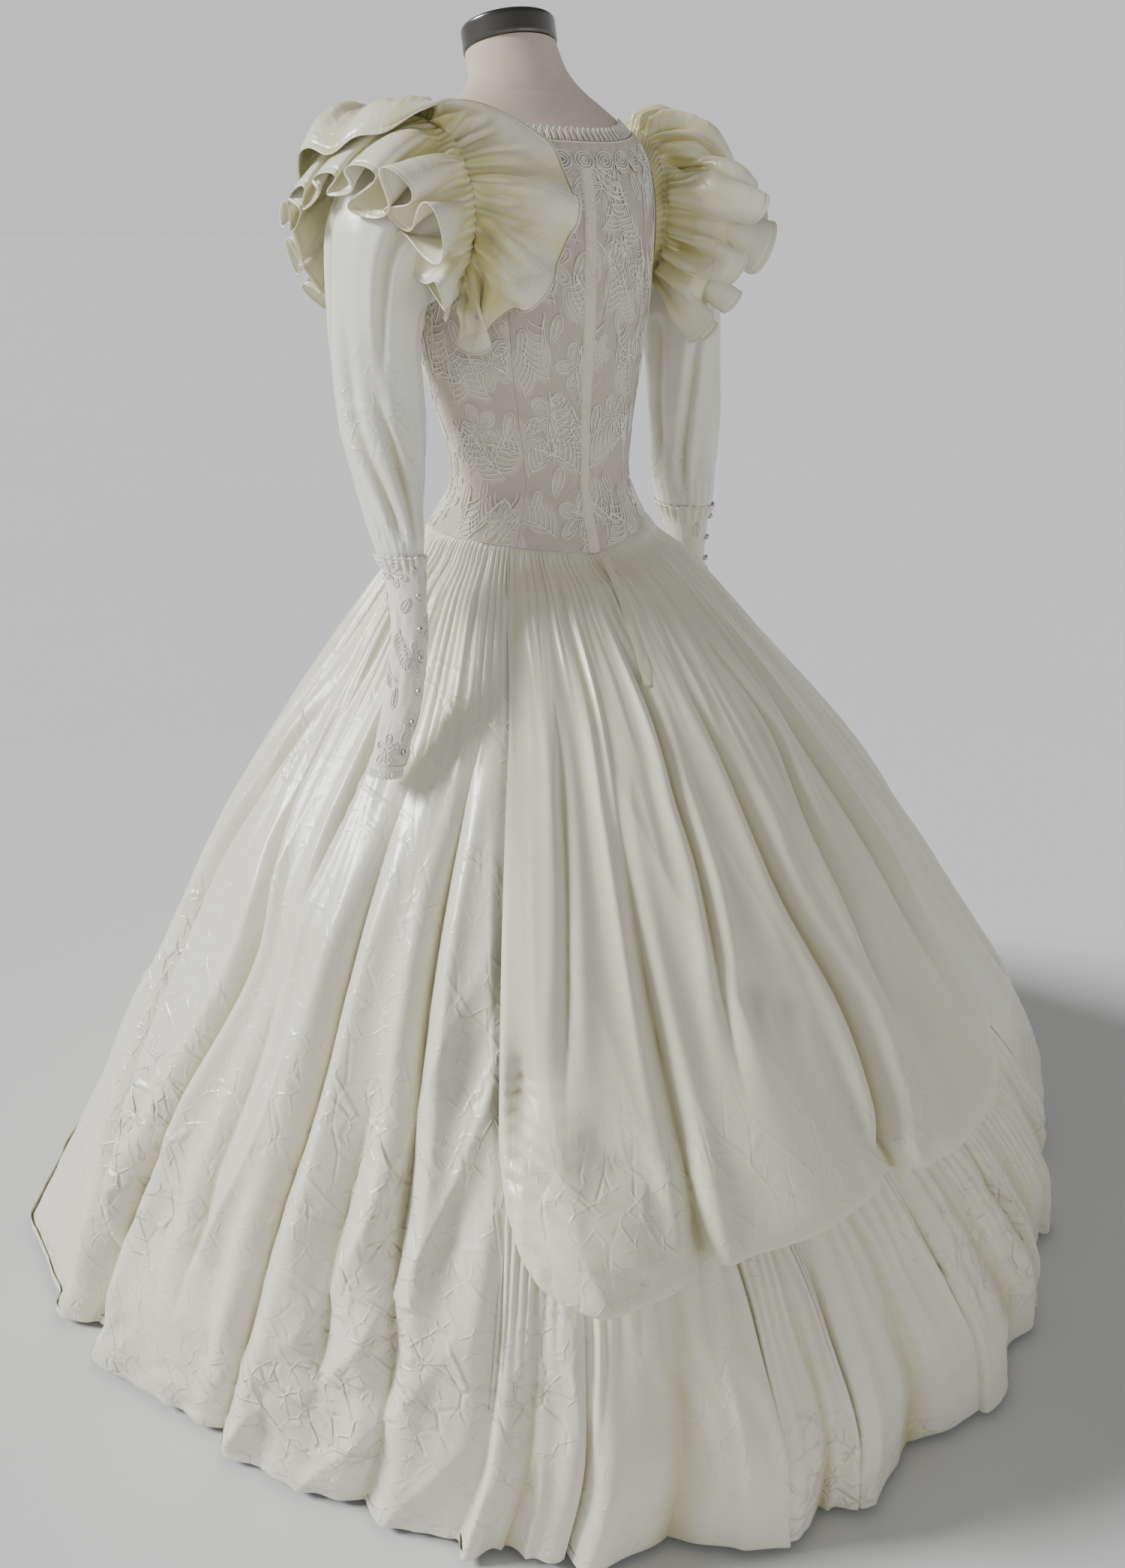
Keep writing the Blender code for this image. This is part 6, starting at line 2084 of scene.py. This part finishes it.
# Ruffle halves: free edge, ring, side, phase of the waves, curl, wave size, crease depth, seed
RUFFLES = (
    ("ruffle_inner_left", LEFT_INNER, LEFT_RING, 1.0, 0.4, 0.008, 2.3, 0.0120, 900),
    ("ruffle_outer_left", LEFT_OUTER, LEFT_RING, 1.0, 2.1, 0.018, 2.6, 0.0045, 920),
    ("ruffle_inner_right", RIGHT_INNER, RIGHT_RING, -1.0, 0.4, 0.012, 2.7, 0.0135, 940),
    ("ruffle_outer_right", RIGHT_OUTER, RIGHT_RING, -1.0, 2.1, 0.016, 2.8, 0.0085, 960),
)
# Flat cut of each piece: width, length, area where it isn't a rectangle, how it is held, on what
FLAT_CUTS = {
    "bodice_centre_back_left": (0.10, 0.45, 0.041, "laid", ("form_torso",)),
    "bodice_centre_back_right": (0.10, 0.45, 0.041, "laid", ("form_torso",)),
    "bodice_side_back_left": (0.115, 0.46, 0.044, "laid", ("form_torso",)),
    "bodice_side_back_right": (0.115, 0.46, 0.044, "laid", ("form_torso",)),
    "bodice_side_front_left": (0.12, 0.46, 0.046, "laid", ("form_torso",)),
    "bodice_side_front_right": (0.12, 0.46, 0.046, "laid", ("form_torso",)),
    "bodice_centre_front": (0.19, 0.42, 0.070, "laid", ("form_torso",)),
    "zip_lap": (0.020, 0.43, None, "laid", ("bodice_centre_back_left", "bodice_centre_back_right")),
    "neck_lace_back": (0.24, 0.036, 0.0078, "laid", ("bodice_centre_back_left", "bodice_centre_back_right")),
    "neck_lace_front": (0.23, 0.036, 0.0075, "laid", ("bodice_centre_front",)),
    "skirt_left": (1.15, 1.06, 0.92, "gathered", ("bodice_side_back_left", "bodice_side_front_left")),
    "skirt_right": (1.20, 1.06, 0.97, "gathered", ("bodice_side_back_right", "bodice_side_front_right")),
    "skirt_front": (1.75, 1.06, 1.45, "gathered", ("bodice_centre_front",)),
    "skirt_back": (0.84, 0.57, 0.36, "hung", ("bodice_centre_back_left", "bodice_centre_back_right")),
    "flounce": (1.36, 0.46, None, "gathered", ("skirt_back",)),
    "drape": (0.96, 0.68, 0.56, "gathered", ("skirt_back",)),
    "skirt_placket": (0.021, 0.115, None, "laid", ("drape",)),
    "sleeve_left": (0.42, 0.46, 0.165, "gathered", ("cuff_left", "ruffle_inner_left")),
    "sleeve_right": (0.40, 0.46, 0.150, "gathered", ("cuff_right", "ruffle_inner_right")),
    "ruffle_inner_left": (1.10, 0.098, None, "gathered", ("sleeve_left",)),
    "ruffle_outer_left": (1.10, 0.095, None, "gathered", ("sleeve_left",)),
    "ruffle_inner_right": (1.20, 0.112, None, "gathered", ("sleeve_right",)),
    "ruffle_outer_right": (1.20, 0.105, None, "gathered", ("sleeve_right",)),
    "cuff_left": (0.15, 0.205, None, "hung", ("sleeve_left",)),
    "cuff_right": (0.19, 0.21, None, "hung", ("sleeve_right",)),
}


def cloth_sheets():
    """Makes every piece of cloth and declares its flat cut."""
    made = {}
    for index, (name, first, last, top, columns, sign) in enumerate(BODICE_PANELS):
        made[name] = bodice_panel(name, first, last, top, columns, sign, 300 + 17 * index)
    made["zip_lap"] = (zip_lap(),)
    made["neck_lace_back"] = neck_lace("neck_lace_back", -50.0, 50.0, 0.0018)
    made["neck_lace_front"] = neck_lace("neck_lace_front", 130.0, 230.0, 0.0011)
    for row in FULL_PANELS:
        made[row[0]] = (full_panel(*row),)
    made["skirt_back"] = (back_panel(),)
    made["flounce"] = (flounce(),)
    made["drape"] = (drape(),)
    made["skirt_placket"] = (placket(),)
    made["sleeve_left"] = (sleeve("left", 1.0, LEFT_SLEEVE, LEFT_SLEEVE_FOLDS, 800),)
    made["sleeve_right"] = (sleeve("right", -1.0, RIGHT_SLEEVE, RIGHT_SLEEVE_FOLDS, 820),)
    for row in RUFFLES:
        made[row[0]] = (ruffle(*row),)
    made["cuff_left"] = cuff("left", 1.0, LEFT_SLEEVE[-1], LEFT_CUFF, 1000)
    made["cuff_right"] = cuff("right", -1.0, RIGHT_SLEEVE[-1], RIGHT_CUFF, 1020)
    for node, (width, length, area, held, rests_on) in FLAT_CUTS.items():
        piece, *trims = made[node]
        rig.sheet(piece, flat=(width, length), held=held, rests_on=rests_on, area=area, with_pieces=trims)


form_torso()
form_neck_cap()
stand_finish()
cloth_sheets()
cuff_buttons()
camera()
studio()
with open("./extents.json", "w") as size_file:
    json.dump({"cad": [list(corner) for corner in cad_box], "visual": [list(corner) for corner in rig.bounds()]},
              size_file)
